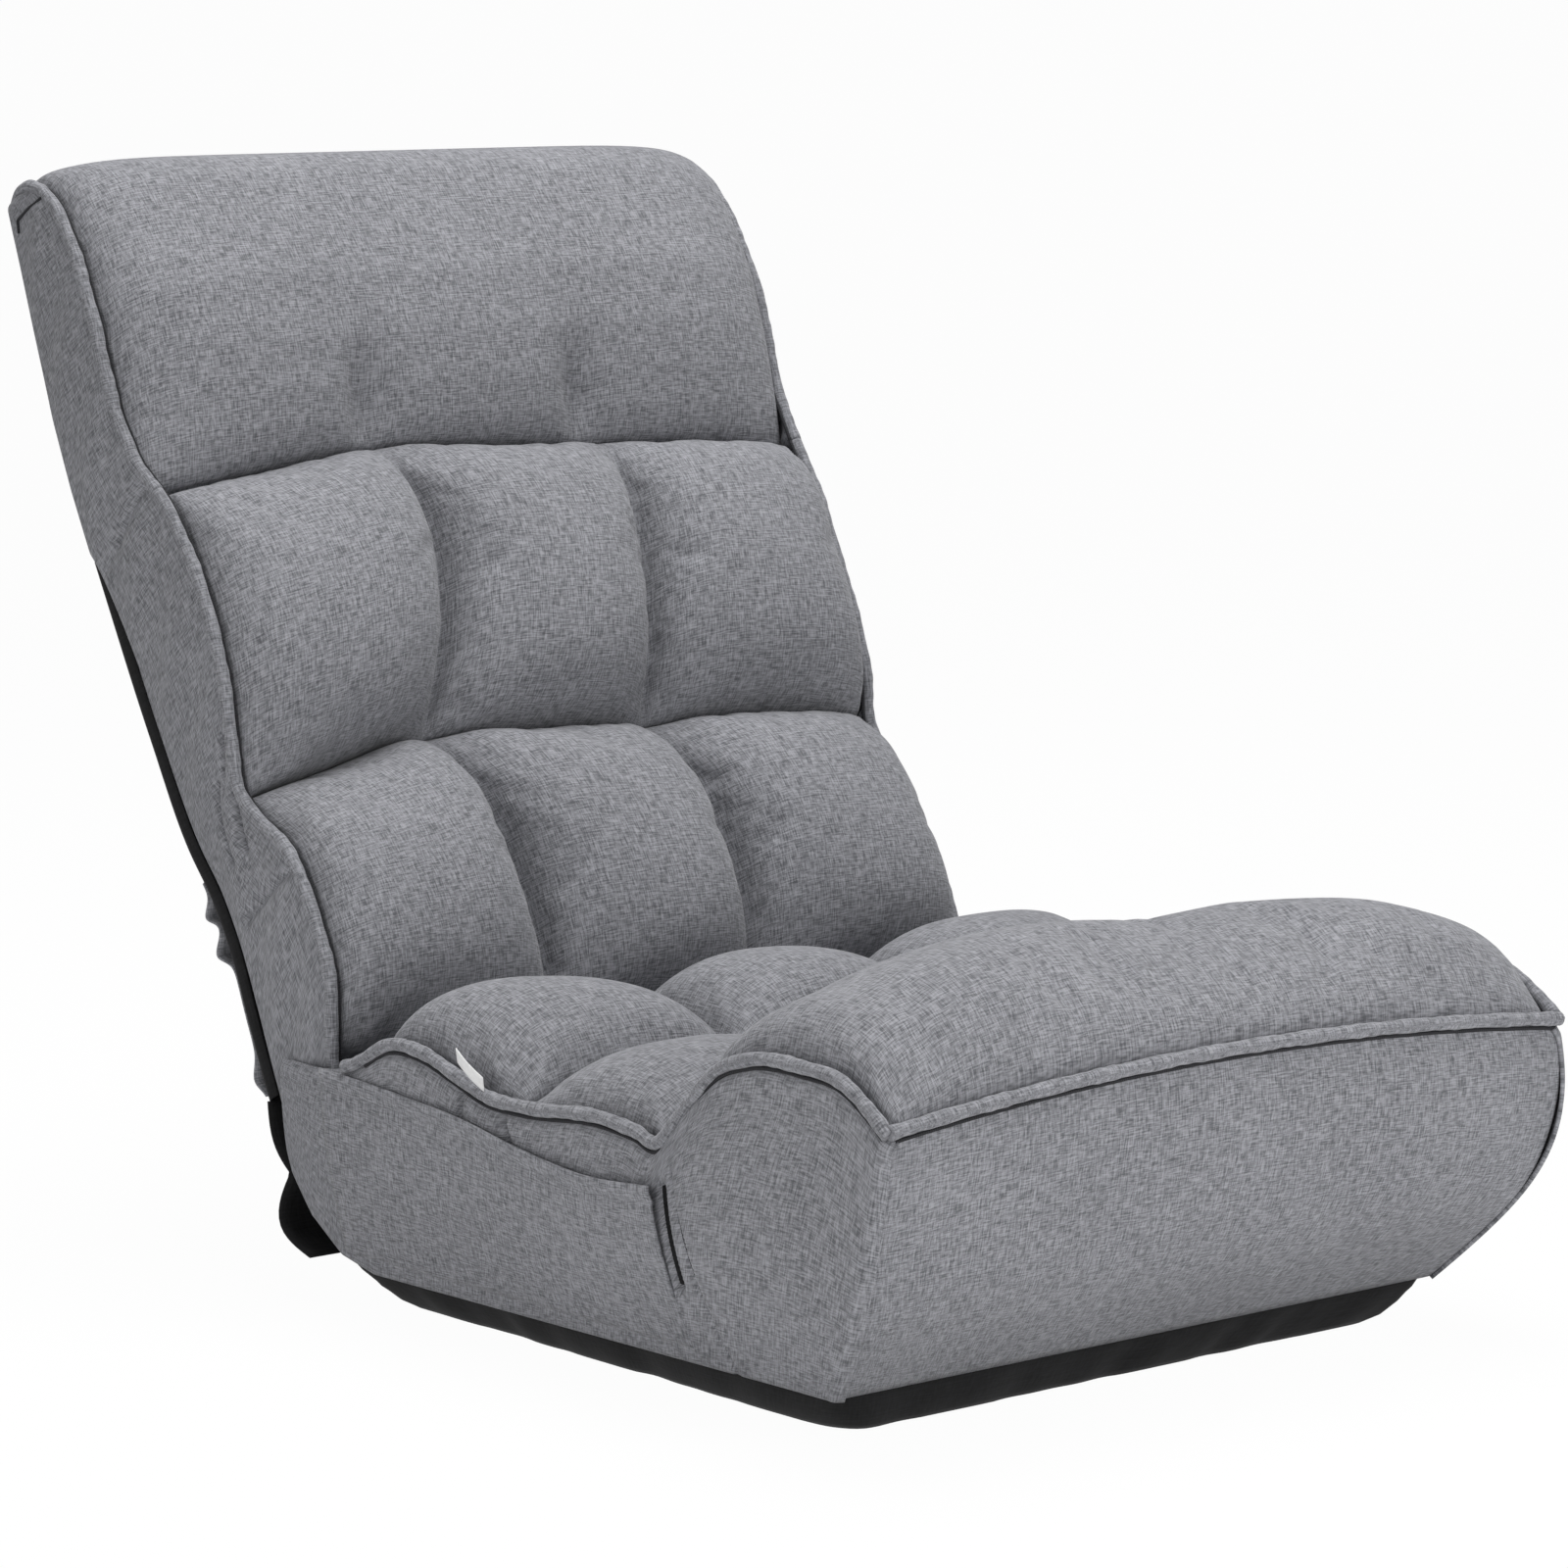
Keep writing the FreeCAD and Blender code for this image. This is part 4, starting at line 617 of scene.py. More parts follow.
def cord_in_cloth(name, path, radius=PIPING, material=grey_heather):
    """A closed tube along a path, with small uneven puckers in its cover."""
    step_length = 0.003
    path = np.asarray(path, float)
    path = evenly(path, int(np.linalg.norm(np.diff(path, axis=0), axis=1).sum() / step_length))
    step = np.gradient(path, axis=0)
    step /= np.linalg.norm(step, axis=1, keepdims=True)
    side = np.zeros_like(path)
    carried = np.cross(step[0], (0.3, 0.2, 1.0))
    for index, direction in enumerate(step):
        carried = carried - direction * carried.dot(direction)
        carried /= np.linalg.norm(carried)
        side[index] = carried
    up = np.cross(side, step)
    place = np.arange(len(path)) * step_length
    pucker = 1 + 0.05 * np.sin(place * 420) * np.sin(place * 37 + 1) + 0.06 * np.sin(place * 130 + 2)
    ring = np.linspace(0, 2 * math.pi, 12, endpoint=False)
    turned = side[:, None] * np.cos(ring)[None, :, None] + up[:, None] * np.sin(ring)[None, :, None]
    grid = path[:, None] + turned * (radius * pucker)[:, None, None]
    rows, columns = grid.shape[:2]
    faces = grid_faces(rows, columns, True)
    faces += [tuple(range(columns)), tuple((rows - 1) * columns + c for c in reversed(range(columns)))]
    return add_piece(name, grid.reshape(-1, 3), faces, cloth_lengths(grid), material)


seat_lines = {}
for side, sign in SIDES:
    cord_y = np.linspace(0.206, -0.366, 160)
    cord_z = smooth_line(side_top_knots, cord_y)
    cord_path = np.column_stack([sign * side_reach(cord_y, cord_z), cord_y, cord_z])
    tucked_end = [(sign * 0.3236, 0.229, 0.190), (sign * 0.3232, 0.219, 0.193)]
    seat_lines[side] = np.concatenate([tucked_end, cord_path])
front_cord_x = np.linspace(-1, 1, 120)
seat_lines["front"] = np.column_stack([
    0.3195 * front_cord_x, np.full_like(front_cord_x, -0.3665), 0.233 + front_arch(front_cord_x)])
for place, line in seat_lines.items():
    belongs(cord_in_cloth(f"seat_piping_{place}", line), "seat_piping", "seat")


# Seam threads: dark lockstitch along the piping, the front corners and the side panels' upright seams.
# The stitches lie sunk in the groove and are darker than the stitching alone, so they paint the crisp shadow
# lines round each panel.

# The thread's near-black tones are painted shade on top of the stitches' own dark colour.
thread = ribbed("thread", "UV", scale=160.0, wobble=0.5, dark=(0.012, 0.012, 0.014),
                light=(0.03, 0.03, 0.033), relief=0, even=[("Specular IOR Level", 0.2)])
THREAD = 0.0013


def stitch_and_shadow_line(name, path):
    """A run of stitches along a seam, near-black so that it paints the shadow line in the groove."""
    stitch_shade_line = cord_in_cloth(name, path, THREAD, thread)
    return stitch_shade_line


# These runs paint the shadow lines under the side piping, in the front corner seams and in the upright seams;
# the last one paints the shadow under the front piping.
for side, sign in SIDES:
    y = np.linspace(0.204, -0.362, 160)
    z = smooth_line(side_top_knots, y)
    under = np.column_stack([sign * (side_reach(y, z) + 0.0012), y, z - 0.0062])
    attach(stitch_and_shadow_line(f"seat_stitch_shade_{side}", under), "seat")
    corner = front_grid[1:-2, 0 if sign < 0 else -1] + (-sign * 0.0006, -0.0026, 0)
    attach(stitch_and_shadow_line(f"corner_stitch_shade_{side}", corner), "seat")
    z = np.linspace(0.036, 0.173, 60)
    (top_y, top_z), (foot_y, foot_z) = UPRIGHT_SEAM
    y = foot_y + (z - foot_z) * (top_y - foot_y) / (top_z - foot_z)
    upright = np.column_stack([sign * (side_reach(y, z) - 0.0001), y, z])
    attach(stitch_and_shadow_line(f"upright_thread_{side}", upright), "seat")
front_under = seat_lines["front"] * (0.985, 1, 1) + (0, 0.0003, -0.0063)
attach(stitch_and_shadow_line("front_stitch_shade", front_under), "seat")


# Side pockets: a flat pouch of the grey cloth on each side panel with a turned hem along its mouth.
# Its front edge stands off the panel, and a black sheet in the slit there paints the shade inside it.

POCKET_FRONT, POCKET_LENGTH, POCKET_FOOT, POCKET_WALL = -0.1405, 0.3955, 0.046, 0.0018
SLIT_TOP = 0.163
pocket_share = np.linspace(0, 1, 80)[None]
pocket_rise = np.linspace(0, 1, 30)[:, None]
pocket_y = POCKET_FRONT + POCKET_LENGTH * pocket_share + 0 * pocket_rise
mouth_knots = [  # along the seat, height
    (-0.141, 0.164), (-0.068, 0.159), (0.008, 0.165), (0.086, 0.176), (0.139, 0.180), (0.187, 0.183),
    (0.255, 0.186)]
mouth = smooth_line(mouth_knots, pocket_y)
pocket_z = POCKET_FOOT + (mouth - POCKET_FOOT) * pocket_rise
stand = 0.0015 + 0.008 * pocket_rise**2 * (1 - 0.75 * pocket_share**0.5)
hem = 0.0012 * (mound(pocket_rise, 0.97, 0.03) - mound(pocket_rise, 0.90, 0.02))
pocket_x = side_reach(pocket_y, pocket_z) + stand + hem
for side, sign in SIDES:
    pocket_grid = np.dstack([sign * pocket_x, pocket_y, pocket_z])
    pouch = thick_cloth(f"pocket_{side}", pocket_grid[:, ::-sign], POCKET_WALL, grey_heather)
    belongs(pouch, f"side_pocket_{side}", "seat")
    declare_cloth(pocket_grid)
    # A black sheet just behind the slit paints the shade between the pouch's front edge and the panel.
    slit_y, slit_z = POCKET_SLIT[1]
    slit_shade_z = np.linspace(slit_z, SLIT_TOP, 24)[:, None] + np.zeros((1, 10))
    slit_shade_y = slit_y + (slit_shade_z - slit_z) * 0.06 + np.linspace(-0.004, 0.012, 10)[None]
    slit_shade_grid = np.dstack([sign * (side_reach(slit_shade_y, slit_shade_z) - 0.0030), slit_shade_y, slit_shade_z])
    slit_shade_sheet = thick_cloth(f"pocket_slit_shade_{side}", slit_shade_grid[:, ::-sign], BLACK_WALL, black_cloth)
    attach(slit_shade_sheet, "seat")
    declare_cloth(slit_shade_grid)


# Sewn tab: a bare folded end of white satin tape, caught in the right-hand seam beside the pocket.
# It lies along the piping with its free end a little curled.

white_tape = woven("white_tape", dark=(0.66, 0.66, 0.66), light=(0.86, 0.86, 0.86), pitch=0.0005,
                   contrast=1.0, roughness=0.55, relief=0.0001)
tab_along = np.linspace(0, 1, 16)[None]
tab_across = np.linspace(0, 1, 5)[:, None]
tab_y = 0.058 + 0.031 * tab_along + 0.002 * tab_across
tab_z = 0.1975 + 0.0165 * tab_along + 0.0102 * tab_across
tab_x = -(0.3268 + 0.0015 * arch(tab_along) + 0 * tab_across)
tab_grid = np.dstack([tab_x, tab_y, tab_z])
tab = thick_cloth("tape_tab", tab_grid[:, ::-1], 0.0008, white_tape)
belongs(tab, "sewn_tab", "seat")
declare_cloth(tab_grid)


# Backrest cushions: two rows of three fibre-filled pillows in the grey cloth, sewn along arched cross seams.
# The channels pull in deepest where they meet the seam between the rows.

right_edge_knots = [  # up the back, out in front of its frame
    (0.030, 0.036), (0.064, 0.051), (0.100, 0.072), (0.157, 0.079), (0.213, 0.072), (0.252, 0.046),
    (0.272, 0.039), (0.300, 0.047), (0.354, 0.065), (0.438, 0.073), (0.490, 0.068), (0.515, 0.062)]
left_edge_knots = [
    (0.030, 0.034), (0.064, 0.045), (0.092, 0.051), (0.132, 0.054), (0.186, 0.051), (0.233, 0.043),
    (0.275, 0.037), (0.299, 0.049), (0.354, 0.062), (0.413, 0.067), (0.456, 0.070), (0.515, 0.062)]
BACK_END = 0.3045
BACK_SWELL = 0.024
FAR_GROOVE = 0.002  # shallower on the side away from the camera, where the covers stand fuller
BACK_FLOOR_END, BACK_FLOOR = 0.3090, 0.0190
middle_seam = [  # share across, place up the back
    (-1, 0.266), (-0.7, 0.283), (-0.4, 0.301), (0, 0.297), (0.3, 0.294), (0.7, 0.289), (1, 0.279)]
top_seam = [
    (-1, 0.508), (-0.7, 0.524), (-0.36, 0.537), (0, 0.535), (0.4, 0.529), (0.7, 0.524), (1, 0.512)]
foot_seam = [(-1, 0.058), (1, 0.058)]


def across_row(share, end, left, right):
    """Place across a row whose channels run at left and right; its ends stay at plus and minus end."""
    shift = (left + right) / 2 * 9 / 8
    bend = (end / 3 - (right - left) / 2) * 27 / 8
    return shift * (1 - share**2) + (end - bend) * share + bend * share**3


def back_row(name, node, low, high, seam_outs, crest, tuft_end, shallow, left_line, right_line):
    """One row of three pillows between two cross seams of the back, its channels on their own lines."""
    s, t = np.meshgrid(ACROSS, np.linspace(0, 1, 45))
    start, end = smooth_line(low, s), smooth_line(high, s)
    u = start + (end - start) * t
    x = across_row(s, BACK_END, smooth_line(left_line, t), smooth_line(right_line, t))
    left_edge = smooth_line(left_edge_knots, u) - FAR_GROOVE
    edge = np.where(s > 0, left_edge, smooth_line(right_edge_knots, u) - GROOVE)
    seam = seam_outs[0] + (seam_outs[1] - seam_outs[0]) * t
    for place in (-CHANNEL, CHANNEL):
        seam = seam - 0.013 * mound(s, place, 0.10) * mound(t, tuft_end, 0.20)
    sewn_level = seam + (edge - seam) * np.abs(s) ** 7
    swell = (crest - np.mean(seam_outs)) * three_pillows(s, 3.0, 0.04 + shallow * t**2) * crown(t, 2.7)
    uneven = 0.0030 * np.sin(7 * s - 4 * t + 1) * crown(t, 2)
    out = sewn_level + swell + uneven * (1 - s**8)
    floor = on_back(x * BACK_FLOOR_END / BACK_END, u, BACK_FLOOR)
    row_of_pillows(name, node, "backrest", on_back(x, u, out), floor, BACK_SWELL)


back_row("back_lower_cushion", "back_lower_pad", foot_seam, middle_seam,
         seam_outs=(0.036, 0.034), crest=0.102, tuft_end=1, shallow=0.35,
         left_line=[(0, -0.100), (0.5, -0.104), (1, -0.120)],
         right_line=[(0, 0.094), (0.5, 0.100), (1, 0.092)])
back_row("back_upper_cushion", "back_upper_pad", middle_seam, top_seam,
         seam_outs=(0.034, 0.046), crest=0.102, tuft_end=0, shallow=0.50,
         left_line=[(0, -0.120), (0.3, -0.095), (0.6, -0.084), (1, -0.100)],
         right_line=[(0, 0.092), (0.3, 0.104), (0.6, 0.116), (1, 0.120)])


# Headrest cushion: one wide fibre-filled pad of the grey cloth that rolls over the top edge to the rear.
# It is sewn to the back's top seam, where two short puckers rise in line with the channels below.

head_right_edge = [  # up the headrest, out in front of its frame
    (0.0, 0.056), (0.018, 0.048), (0.057, 0.040), (0.124, 0.042), (0.186, 0.036), (0.225, 0.024)]
head_left_edge = [
    (0.0, 0.058), (0.042, 0.056), (0.121, 0.060), (0.160, 0.058), (0.200, 0.050), (0.225, 0.038)]
head_middle = [
    (0.024, 0.048), (0.024, 0.060), (0.036, 0.070), (0.062, 0.078), (0.100, 0.083), (0.150, 0.080),
    (0.190, 0.069), (0.220, 0.059), (0.242, 0.050), (0.258, 0.036), (0.267, 0.018), (0.269, 0.002),
    (0.266, -0.016), (0.260, -0.028), (0.252, -0.037)]
head_over = [(0.247, 0.014), (0.256, -0.004), (0.255, -0.021), (0.242, -0.039)]
HEAD_END, HEAD_FLOOR_END = 0.3140, 0.3185
HEAD_SWELL = 0.010
HEAD_ROWS, PUCKER_ROWS = 61, 8
HEAD_TURN = 0.60  # share of the section where the underside turns over the top
HEAD_TOP = 0.2335
head_out = on_head(0, 0, 1) - on_head(0, 0, 0)
middle = evenly(head_middle, HEAD_ROWS)
seam_line = on_back(HEAD_END * ACROSS, smooth_line(top_seam, ACROSS), 0.046)
head_grid = np.zeros((HEAD_ROWS, ACROSS.size, 3))
fullness = np.clip(1 - np.abs(ACROSS) ** 8, 0, 1) ** 0.5
for column, (share, full) in enumerate(zip(ACROSS, fullness)):
    edge, sunk = (head_left_edge, FAR_GROOVE) if share > 0 else (head_right_edge, GROOVE)
    end = evenly([(u, out - sunk) for u, out in edge] + head_over, HEAD_ROWS)
    section = end + (middle - end) * full
    head_grid[:, column] = on_head(HEAD_END * share, section[:, 0], section[:, 1])
s, t = ACROSS[None], np.linspace(0, 1, HEAD_ROWS)[:, None]
for place in (-CHANNEL, CHANNEL):
    dip = 0.022 * mound(s, place, 0.065) * mound(t, 0.11, 0.12)
    head_grid -= dip[..., None] * head_out
gather = 0.0016 * np.sin(s * 95) * mound(s, 0.82, 0.16) * np.exp(-t / 0.14)
head_grid += gather[..., None] * head_out
pull = np.clip(1 - t / 0.16, 0, 1) ** 2
head_grid += (seam_line - head_grid[0])[None] * pull[..., None]
sunk_ends = 0.014 * np.clip((np.abs(s) - 0.945) / 0.03, 0, 1)
under_out = np.interp(t, [0, 0.50, HEAD_TURN], [0.0325, 0.0325, 0.020]) - sunk_ends
level = on_head(0, np.interp(t, [0, HEAD_TURN], [0.0, HEAD_TOP]), under_out)
turned_over = on_head(0, HEAD_TOP, 0.020 - 0.056 * (t - HEAD_TURN) / (1 - HEAD_TURN))
head_floor = np.where((t > HEAD_TURN)[..., None], turned_over, level)
head_floor[..., 0] = HEAD_FLOOR_END * s
head_pad = closed_shell("headrest_cushion", head_grid, head_floor, grey_heather)
stuff(head_pad, sewn_down(HEAD_ROWS, PUCKER_ROWS), HEAD_SWELL, pressure=2.0, spare=0.0)
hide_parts("head_pad")
tuple(on_back(0, 0.530, 0))
tuple(on_back(0, 0.610, 0))
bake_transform(head_pad)


# Side boxing of the back and headrest: a band of the grey cloth between the piping and the rear edge.
# The two lengths meet below the headrest hinge; the upper one crosses it.
# Piping and a near-black run of stitches, which paints the shade in the groove, run up its front edge and end
# in a tuck at the headrest's upper corner.

EDGE_STEPS, BAND_STEPS = 400, 200
SPLIT = 128  # the step of the band where its two lengths meet
EASING = 8  # smoothing passes along the piping
BOXING_X, CORD_X = 0.310, 0.311
TUCK = [  # across, up the headrest, out
    (0.3225, 0.2390, 0.0150), (0.3245, 0.2373, 0.0108), (0.3266, 0.2347, -0.0053),
    (0.3268, 0.2309, -0.0220), (0.3256, 0.2217, -0.0257)]


def edge_line(knots, head_knots):
    """Piping line in front of the boxing: up the back, up the headrest and over its top."""
    u = np.linspace(0.030, 0.505, 80)
    over = [
        (0.243, 0.012), (0.253, -0.004), (0.252, -0.020), (0.243, -0.031), (0.229, -0.033), (0.221, -0.026)]
    v, out = np.array(head_knots + over).T
    back = on_back(0.0, u, smooth_line(knots, u))
    head = on_head(0.0, v, out)
    line = evenly(np.concatenate([back, head[1:]]), EDGE_STEPS)
    for _ in range(EASING):
        line[1:-1] = (line[:-2] + 2 * line[1:-1] + line[2:]) / 4
    return line


def bend_at_head(piece):
    """Bake a piece's placement into its points."""
    tuple(on_back(0, 0.490, 0))
    tuple(on_back(0, 0.575, 0))
    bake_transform(piece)


def widening(up):
    """How much wider the headrest's sides stand than the back's, for a share of the way up."""
    return 0.010 * np.clip((up - 0.55) / 0.25, 0, 1)


boxing_folds = [
    # depth, one end, other end, width: across the band and up it
    (0.0090, (0.008, 0.245), (0.030, 0.215), 0.0045),
    (0.0075, (0.034, 0.268), (0.052, 0.222), 0.0050),
    (0.0065, (0.004, 0.165), (0.070, 0.190), 0.0050),
    (0.0070, (0.012, 0.285), (0.022, 0.262), 0.0040),
    (0.0050, (0.006, 0.478), (0.060, 0.470), 0.0050),
]
rear_knots = [  # up the back, out in front of its frame
    (-0.040, -0.012), (0.00, -0.030), (0.060, -0.027), (0.117, -0.021), (0.177, -0.016), (0.213, -0.018),
    (0.259, -0.027), (0.350, -0.031), (0.460, -0.032), (0.495, -0.036), (0.510, -0.040)]
rear_up = np.linspace(-0.04, 0.505, 80)
rear_edge = evenly(np.concatenate([
    on_back(0.0, rear_up, smooth_line(rear_knots, rear_up)),
    on_head(0.0, np.linspace(0.020, 0.243, 40), -0.0375)]), BAND_STEPS)
head_left_cord = [
    (0.0, 0.057), (0.042, 0.054), (0.121, 0.054), (0.160, 0.048), (0.200, 0.038), (0.225, 0.026)]
for side, sign, knots, head_knots in (("left", 1, left_edge_knots, head_left_cord),
                                      ("right", -1, right_edge_knots, head_right_edge)):
    cord_line = edge_line(knots, head_knots)
    top = int(np.argmax(cord_line[:, 2]))
    front = evenly(cord_line[:top + 1], BAND_STEPS)
    share = np.linspace(0, 1, 44)[:, None, None]
    band = front[None] * (1 - share) + rear_edge[None] * share
    up = np.linspace(0, 1, BAND_STEPS)[None]
    w = share[..., 0]
    puff = 0.005 * arch(w)
    ripple = 0.0015 * np.sin(up * 60 + 5 * w) * arch(w)
    across, along = 0.095 * w, 0.73 * up
    folds = sum(depth * fold_line(across, along, *ends, width) for depth, *ends, width in boxing_folds)
    band[..., 0] = sign * (BOXING_X + widening(up) + puff + ripple - folds)
    lower = thick_cloth(f"back_boxing_{side}", band[::sign, :SPLIT], PANEL_WALL, grey_heather)
    upper = thick_cloth(f"head_boxing_{side}", band[::sign, SPLIT - 1:], PANEL_WALL, grey_heather)
    cord_up = np.clip(np.linspace(0, len(cord_line) / (top + 1), len(cord_line)), 0, 1)
    cord_line[:, 0] = sign * (CORD_X + widening(cord_up))
    split = int(SPLIT / BAND_STEPS * top)
    low_cord = cord_in_cloth(f"back_piping_{side}", cord_line[:split + 1])
    high_cord = cord_in_cloth(f"head_piping_{side}", cord_line[split:])
    inner = cord_line + (-sign * 0.0060, 0, 0) + 0.0008 * (on_back(0, 0, 1) - on_back(0, 0, 0))
    # Beside the piping a near-black run paints the shadow line in the groove; at the headrest's corner a run
    # paints the shade under the roll.
    low_stitch_shade = stitch_and_shadow_line(f"back_stitch_shade_{side}", inner[6:split + 1])
    high_stitch_shade = stitch_and_shadow_line(f"head_stitch_shade_{side}", inner[split:top - 4])
    tuck_x, tuck_up, tuck_out = np.array(TUCK).T
    tuck = stitch_and_shadow_line(f"tuck_stitch_shade_{side}", on_head(sign * tuck_x, tuck_up, tuck_out))
    belongs(lower, f"back_side_panel_{side}", "backrest")
    belongs(low_cord, "back_piping", "backrest")
    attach(low_stitch_shade, "backrest")
    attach(tuck, "headrest")
    for piece, node in ((upper, f"head_side_panel_{side}"), (high_cord, "head_piping")):
        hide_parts(node)
        bend_at_head(piece)
    bend_at_head(high_stitch_shade)
    declare_cloth(band[:, :SPLIT])
    declare_cloth(band[:, SPLIT - 1:])


# Rear covers: black cloth over the back of the backrest and of the headrest, sewn to the boxing's rear edge.
# It hangs a little slack between the frame tubes.

def rear_cover(name, node, body, place, low, high, out, section):
    """A sheet up the rear of a part; section gives its place across and how far its sides turn forward."""
    across, forward = evenly(section, 150).T[:, None]
    t = np.linspace(0, 1, 60)[:, None]
    u = low + (high - low) * t
    s = across / across[0, -1]
    sag = 0.004 * arch(t) * np.cos(s * math.pi / 2) * np.sin(9 * t + 2 * s)
    grid = place(across, u, smooth_line(out, u) + forward + sag)
    sheet = thick_cloth(name, grid, -BLACK_WALL, black_cloth)
    belongs(sheet, node, body)
    declare_cloth(grid)


cover_knots = [(0.0, -0.045), (0.055, -0.045), (0.117, -0.040), (0.177, -0.034), (0.213, -0.036),
               (0.259, -0.045), (0.350, -0.048), (0.510, -0.046)]
turned = [  # across, forward of the cover
    (-0.3140, 0.0165), (-0.3155, 0.0080), (-0.3130, 0.0015), (-0.3060, 0.0)]
back_section = turned + [(-x, out) for x, out in reversed(turned)]
head_section = [(-0.318, 0.003), (-0.312, 0.0), (0.312, 0.0), (0.318, 0.003)]
rear_cover("back_rear_cloth", "back_rear_cover", "backrest", on_back, low=0.055, high=0.499,
           out=cover_knots, section=back_section)
rear_cover("head_rear_cloth", "head_rear_cover", "headrest", on_head, low=0.012, high=0.250,
           out=[(0, -0.0385), (1, -0.0385)], section=head_section)


# Rear folds: loose grey cloth gathered behind the recline hinge, tacked to the rear cover along its edges.
# It stands out in three soft rolls, which show past the black strip from the side.

ROLLS = (  # place up the back, width, height
    (0.078, 0.012, 0.011), (0.178, 0.011, 0.014), (0.208, 0.009, 0.012))
fold_share = np.linspace(-1, 1, 120)[None]
fold_u = np.linspace(0.062, 0.232, 90)[:, None]
rolls = sum(
    height * mound(fold_u, place, width) * (1 + 0.2 * np.sin(6 * fold_share + 40 * place))
    for place, width, height in ROLLS)
fold_grid = on_back(0.308 * fold_share, fold_u, smooth_line(cover_knots, fold_u) - 0.0065 - rolls)
rear_folds = thick_cloth("rear_fold_cloth", fold_grid, -0.0020, grey_heather)
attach(rear_folds, "backrest")
declare_cloth(fold_grid)


# Crease cloths and rear gusset: loose strips that join the covers across the two hinges.
# They fold into the creases at rest.

def strip(name, node, profile, half, material, wall):
    """A loose strip along a profile, in place of a CAD node."""
    rows, columns = 26, 60
    path = evenly(profile, rows)
    s = np.linspace(-1, 1, columns)
    grid = np.zeros((rows, columns, 3))
    grid[..., 0] = half * s[None]
    grid[..., 1:] = path[:, None]
    t = np.linspace(0, 1, rows)[:, None]
    grid[..., 1] += 0.0015 * arch(t) * np.sin(14 * s[None] + 6 * t)
    piece = thick_cloth(name, grid, wall, material)
    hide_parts(node)
    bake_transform(piece)
    declare_cloth(grid)


def bow(start, end, depth):
    """A slack line from start to end, bowed sideways by depth."""
    start, end = np.array(start), np.array(end)
    t = np.linspace(0, 1, 20)[:, None]
    square = np.array([-(end - start)[1], (end - start)[0]]) / np.linalg.norm(end - start)
    return start + (end - start) * t + square * depth * arch(t)


STRIP_END, STRIP_WALL = 0.302, 0.002
back_lip = on_back(0, 0.064, 0.031)[1:]
strip("crease_strip", "crease_cloth", bow((0.206, 0.162), back_lip, -0.012), STRIP_END, grey_heather,
      STRIP_WALL)
lower_lip = on_back(0, 0.503, 0.040)[1:]
head_lip = on_head(0, 0.012, 0.036)[1:]
strip("head_crease_strip", "headrest_crease_cloth", bow(lower_lip, head_lip, 0.003), STRIP_END, grey_heather,
      STRIP_WALL)
lower_lip = on_back(0, 0.498, -0.046)[1:]
head_lip = on_head(0, 0.012, -0.0385)[1:]
strip("head_rear_strip", "headrest_rear_cloth", bow(lower_lip, head_lip, -0.004), 0.309, black_cloth,
      -BLACK_WALL)
gusset_top = on_back(0, 0.056, -0.045)[1:]
gusset_waist = (0.313, 0.096)
gusset_path = np.concatenate([
    bow((0.290, 0.036), gusset_waist, -0.028), bow(gusset_waist, gusset_top, -0.009)[1:]])
strip("rear_gusset_cloth", "rear_gusset", gusset_path, 0.3135, black_cloth,
      -BLACK_WALL)


# Studio: a pale floor under soft light from above, from the front and from the left.
# Floor and air are seen as white, and the camera stands at the photograph's angle.

WHITE = (1, 1, 1, 1)


def seen_straight(shade):
    """1 for a ray from the camera, off a gloss or through glass, and 0 for one that only lights the chair."""
    camera_ray, glossy, passing = (
        shade.node("LightPath", {}, {}, f"Is {kind} Ray") for kind in ("Camera", "Glossy", "Transmission"))
    return camera_ray + glossy + passing


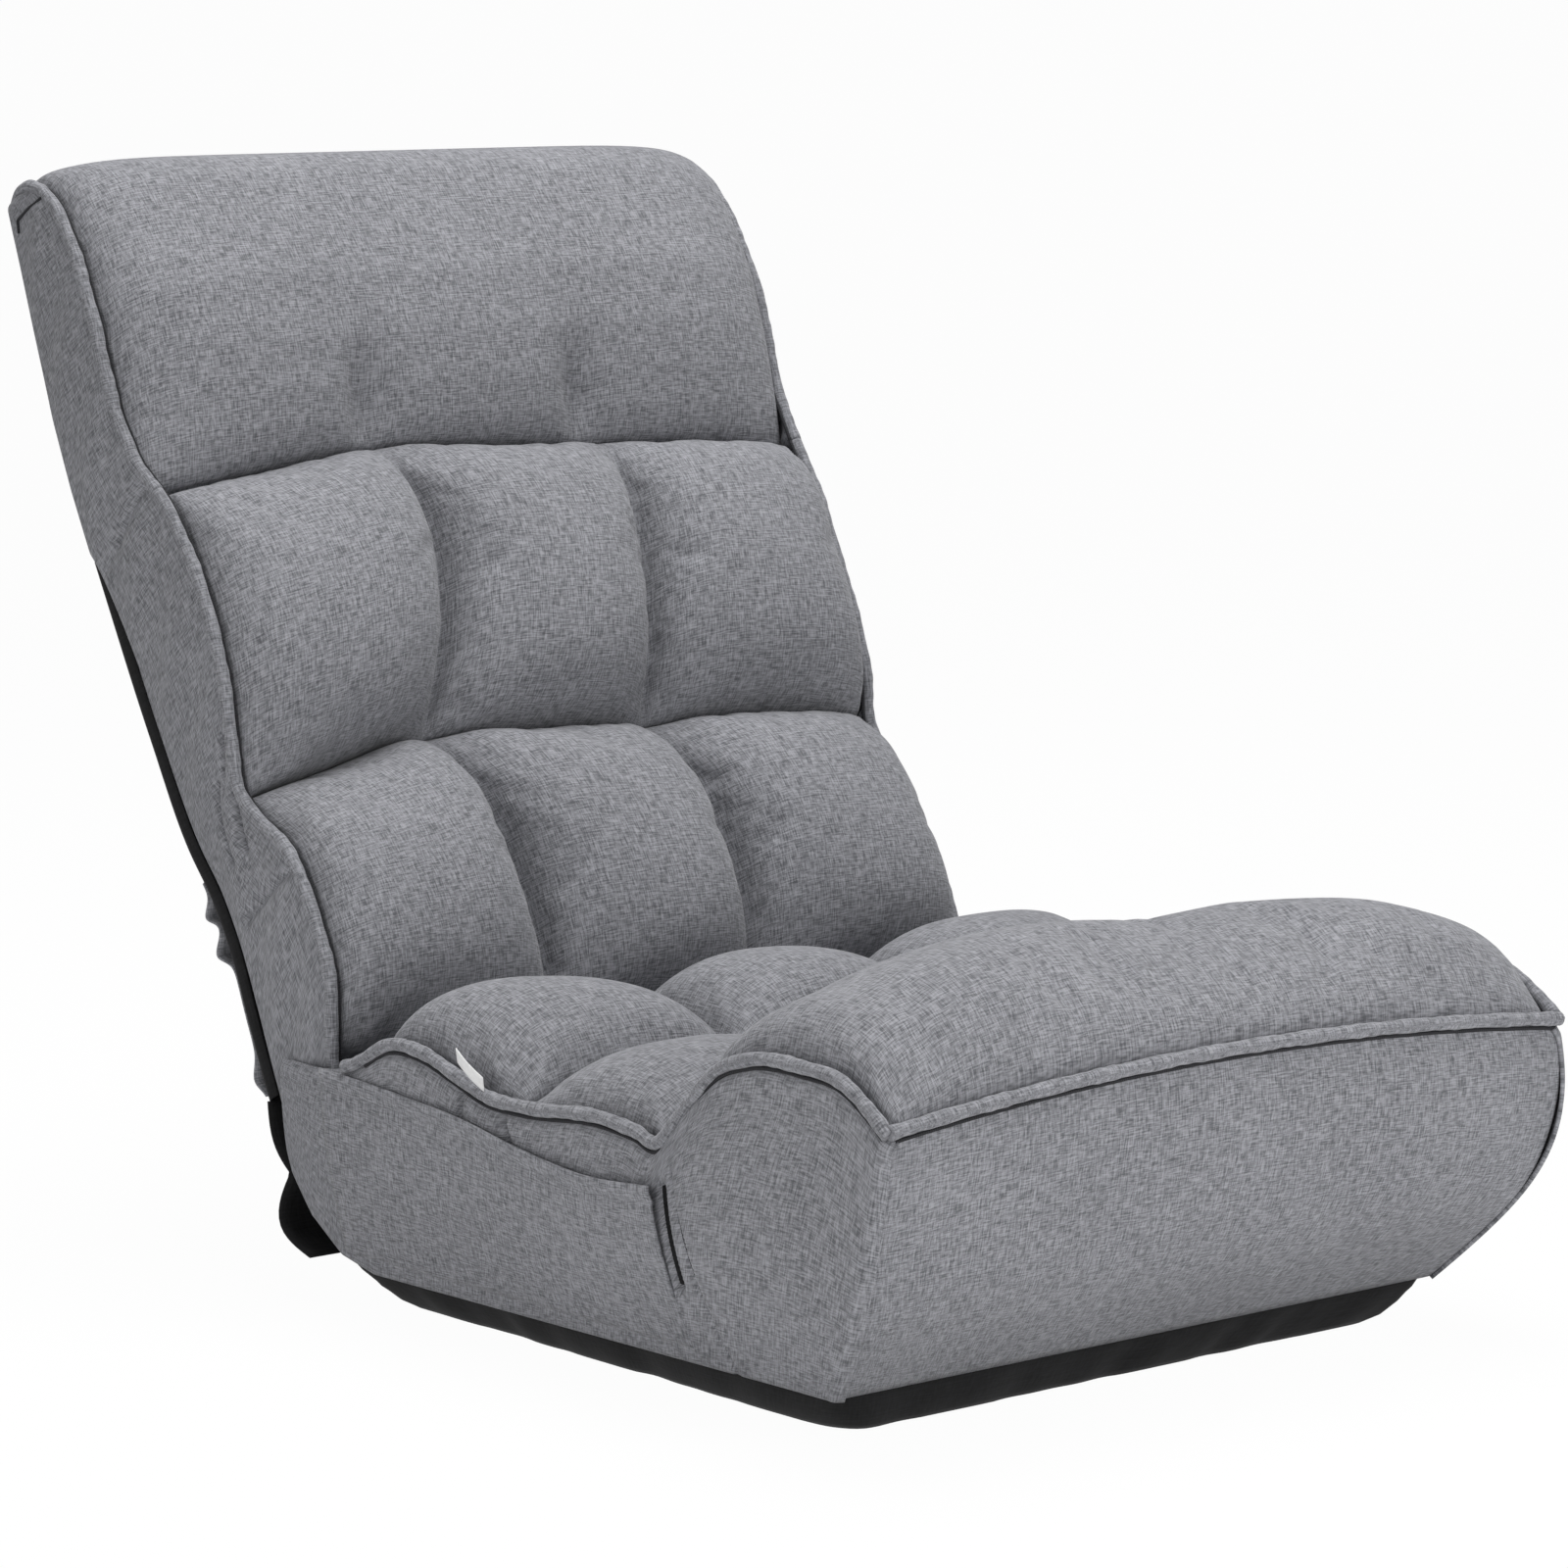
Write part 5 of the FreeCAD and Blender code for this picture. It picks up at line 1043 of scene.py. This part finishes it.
floor_tone, floor_shader, floor_shade = new_material("floor", 0.9)
floor_shader.inputs["Base Color"].default_value = (0.86, 0.86, 0.86, 1)
seen = seen_straight(floor_shade) * 0.97
white = floor_shade.node("Emission", {}, {"Color": WHITE, "Strength": 1.0})
plain = Shade(floor_tone.node_tree, floor_shader.outputs[0])
mixed = floor_shade.node("MixShader", {}, {0: seen, 1: plain, 2: white})
floor_tone.node_tree.links.new(mixed.socket, floor_tone.node_tree.nodes["Material Output"].inputs["Surface"])
floor_mesh = bpy.data.meshes.new("floor")
FLOOR = 200.0
floor_corners = [(-FLOOR, -FLOOR, 0), (FLOOR, -FLOOR, 0), (FLOOR, FLOOR, 0), (-FLOOR, FLOOR, 0)]
floor_mesh.from_pydata(floor_corners, [], [(0, 1, 2, 3)])
floor_mesh.materials.append(floor_tone)
floor = placed("floor", floor_mesh)

world = bpy.data.worlds.new("studio")
bpy.context.scene.world = world
world.use_nodes = True
air = Shade(world.node_tree, None)
ambient = world.node_tree.nodes["Background"]
ambient.inputs["Color"].default_value = WHITE
ambient.inputs["Strength"].default_value = 0.14
open_white = air.node("Background", {}, {"Color": WHITE, "Strength": 1.0})
dim = Shade(world.node_tree, ambient.outputs[0])
both = air.node("MixShader", {}, {0: seen_straight(air), 1: dim, 2: open_white})
world.node_tree.links.new(both.socket, world.node_tree.nodes["World Output"].inputs["Surface"])


def softbox(name, place, aim, size, power):
    """A square studio light that looks at its aim."""
    light = bpy.data.lights.new(name, "AREA")
    light.shape = "SQUARE"
    light.size = size
    light.energy = power
    lamp = placed(name, light)
    lamp.location = place
    lamp.rotation_euler = (Vector(aim) - Vector(place)).to_track_quat("-Z", "Y").to_euler()


softbox("overhead", place=(0.2, 0.3, 3.2), aim=(0, 0.0, 0.2), size=2.4, power=110)
softbox("low_front", place=(0.1, -1.8, 0.7), aim=(0, -0.3, 0.2), size=1.0, power=14.5)
softbox("left", place=(-2.2, -0.5, 0.6), aim=(0, 0.0, 0.2), size=1.0, power=12)

camera_data = bpy.data.cameras.new("camera")
camera_data.sensor_width = 36
camera_data.lens = 132.75
camera_data.dof.use_dof = False
camera = placed("camera", camera_data)
camera.location = (-2.741, -3.131, 0.984)
camera.rotation_euler = (math.radians(81.91), 0, math.radians(-40.15))
bpy.context.scene.camera = camera
bpy.context.scene.view_settings.view_transform = "Standard"
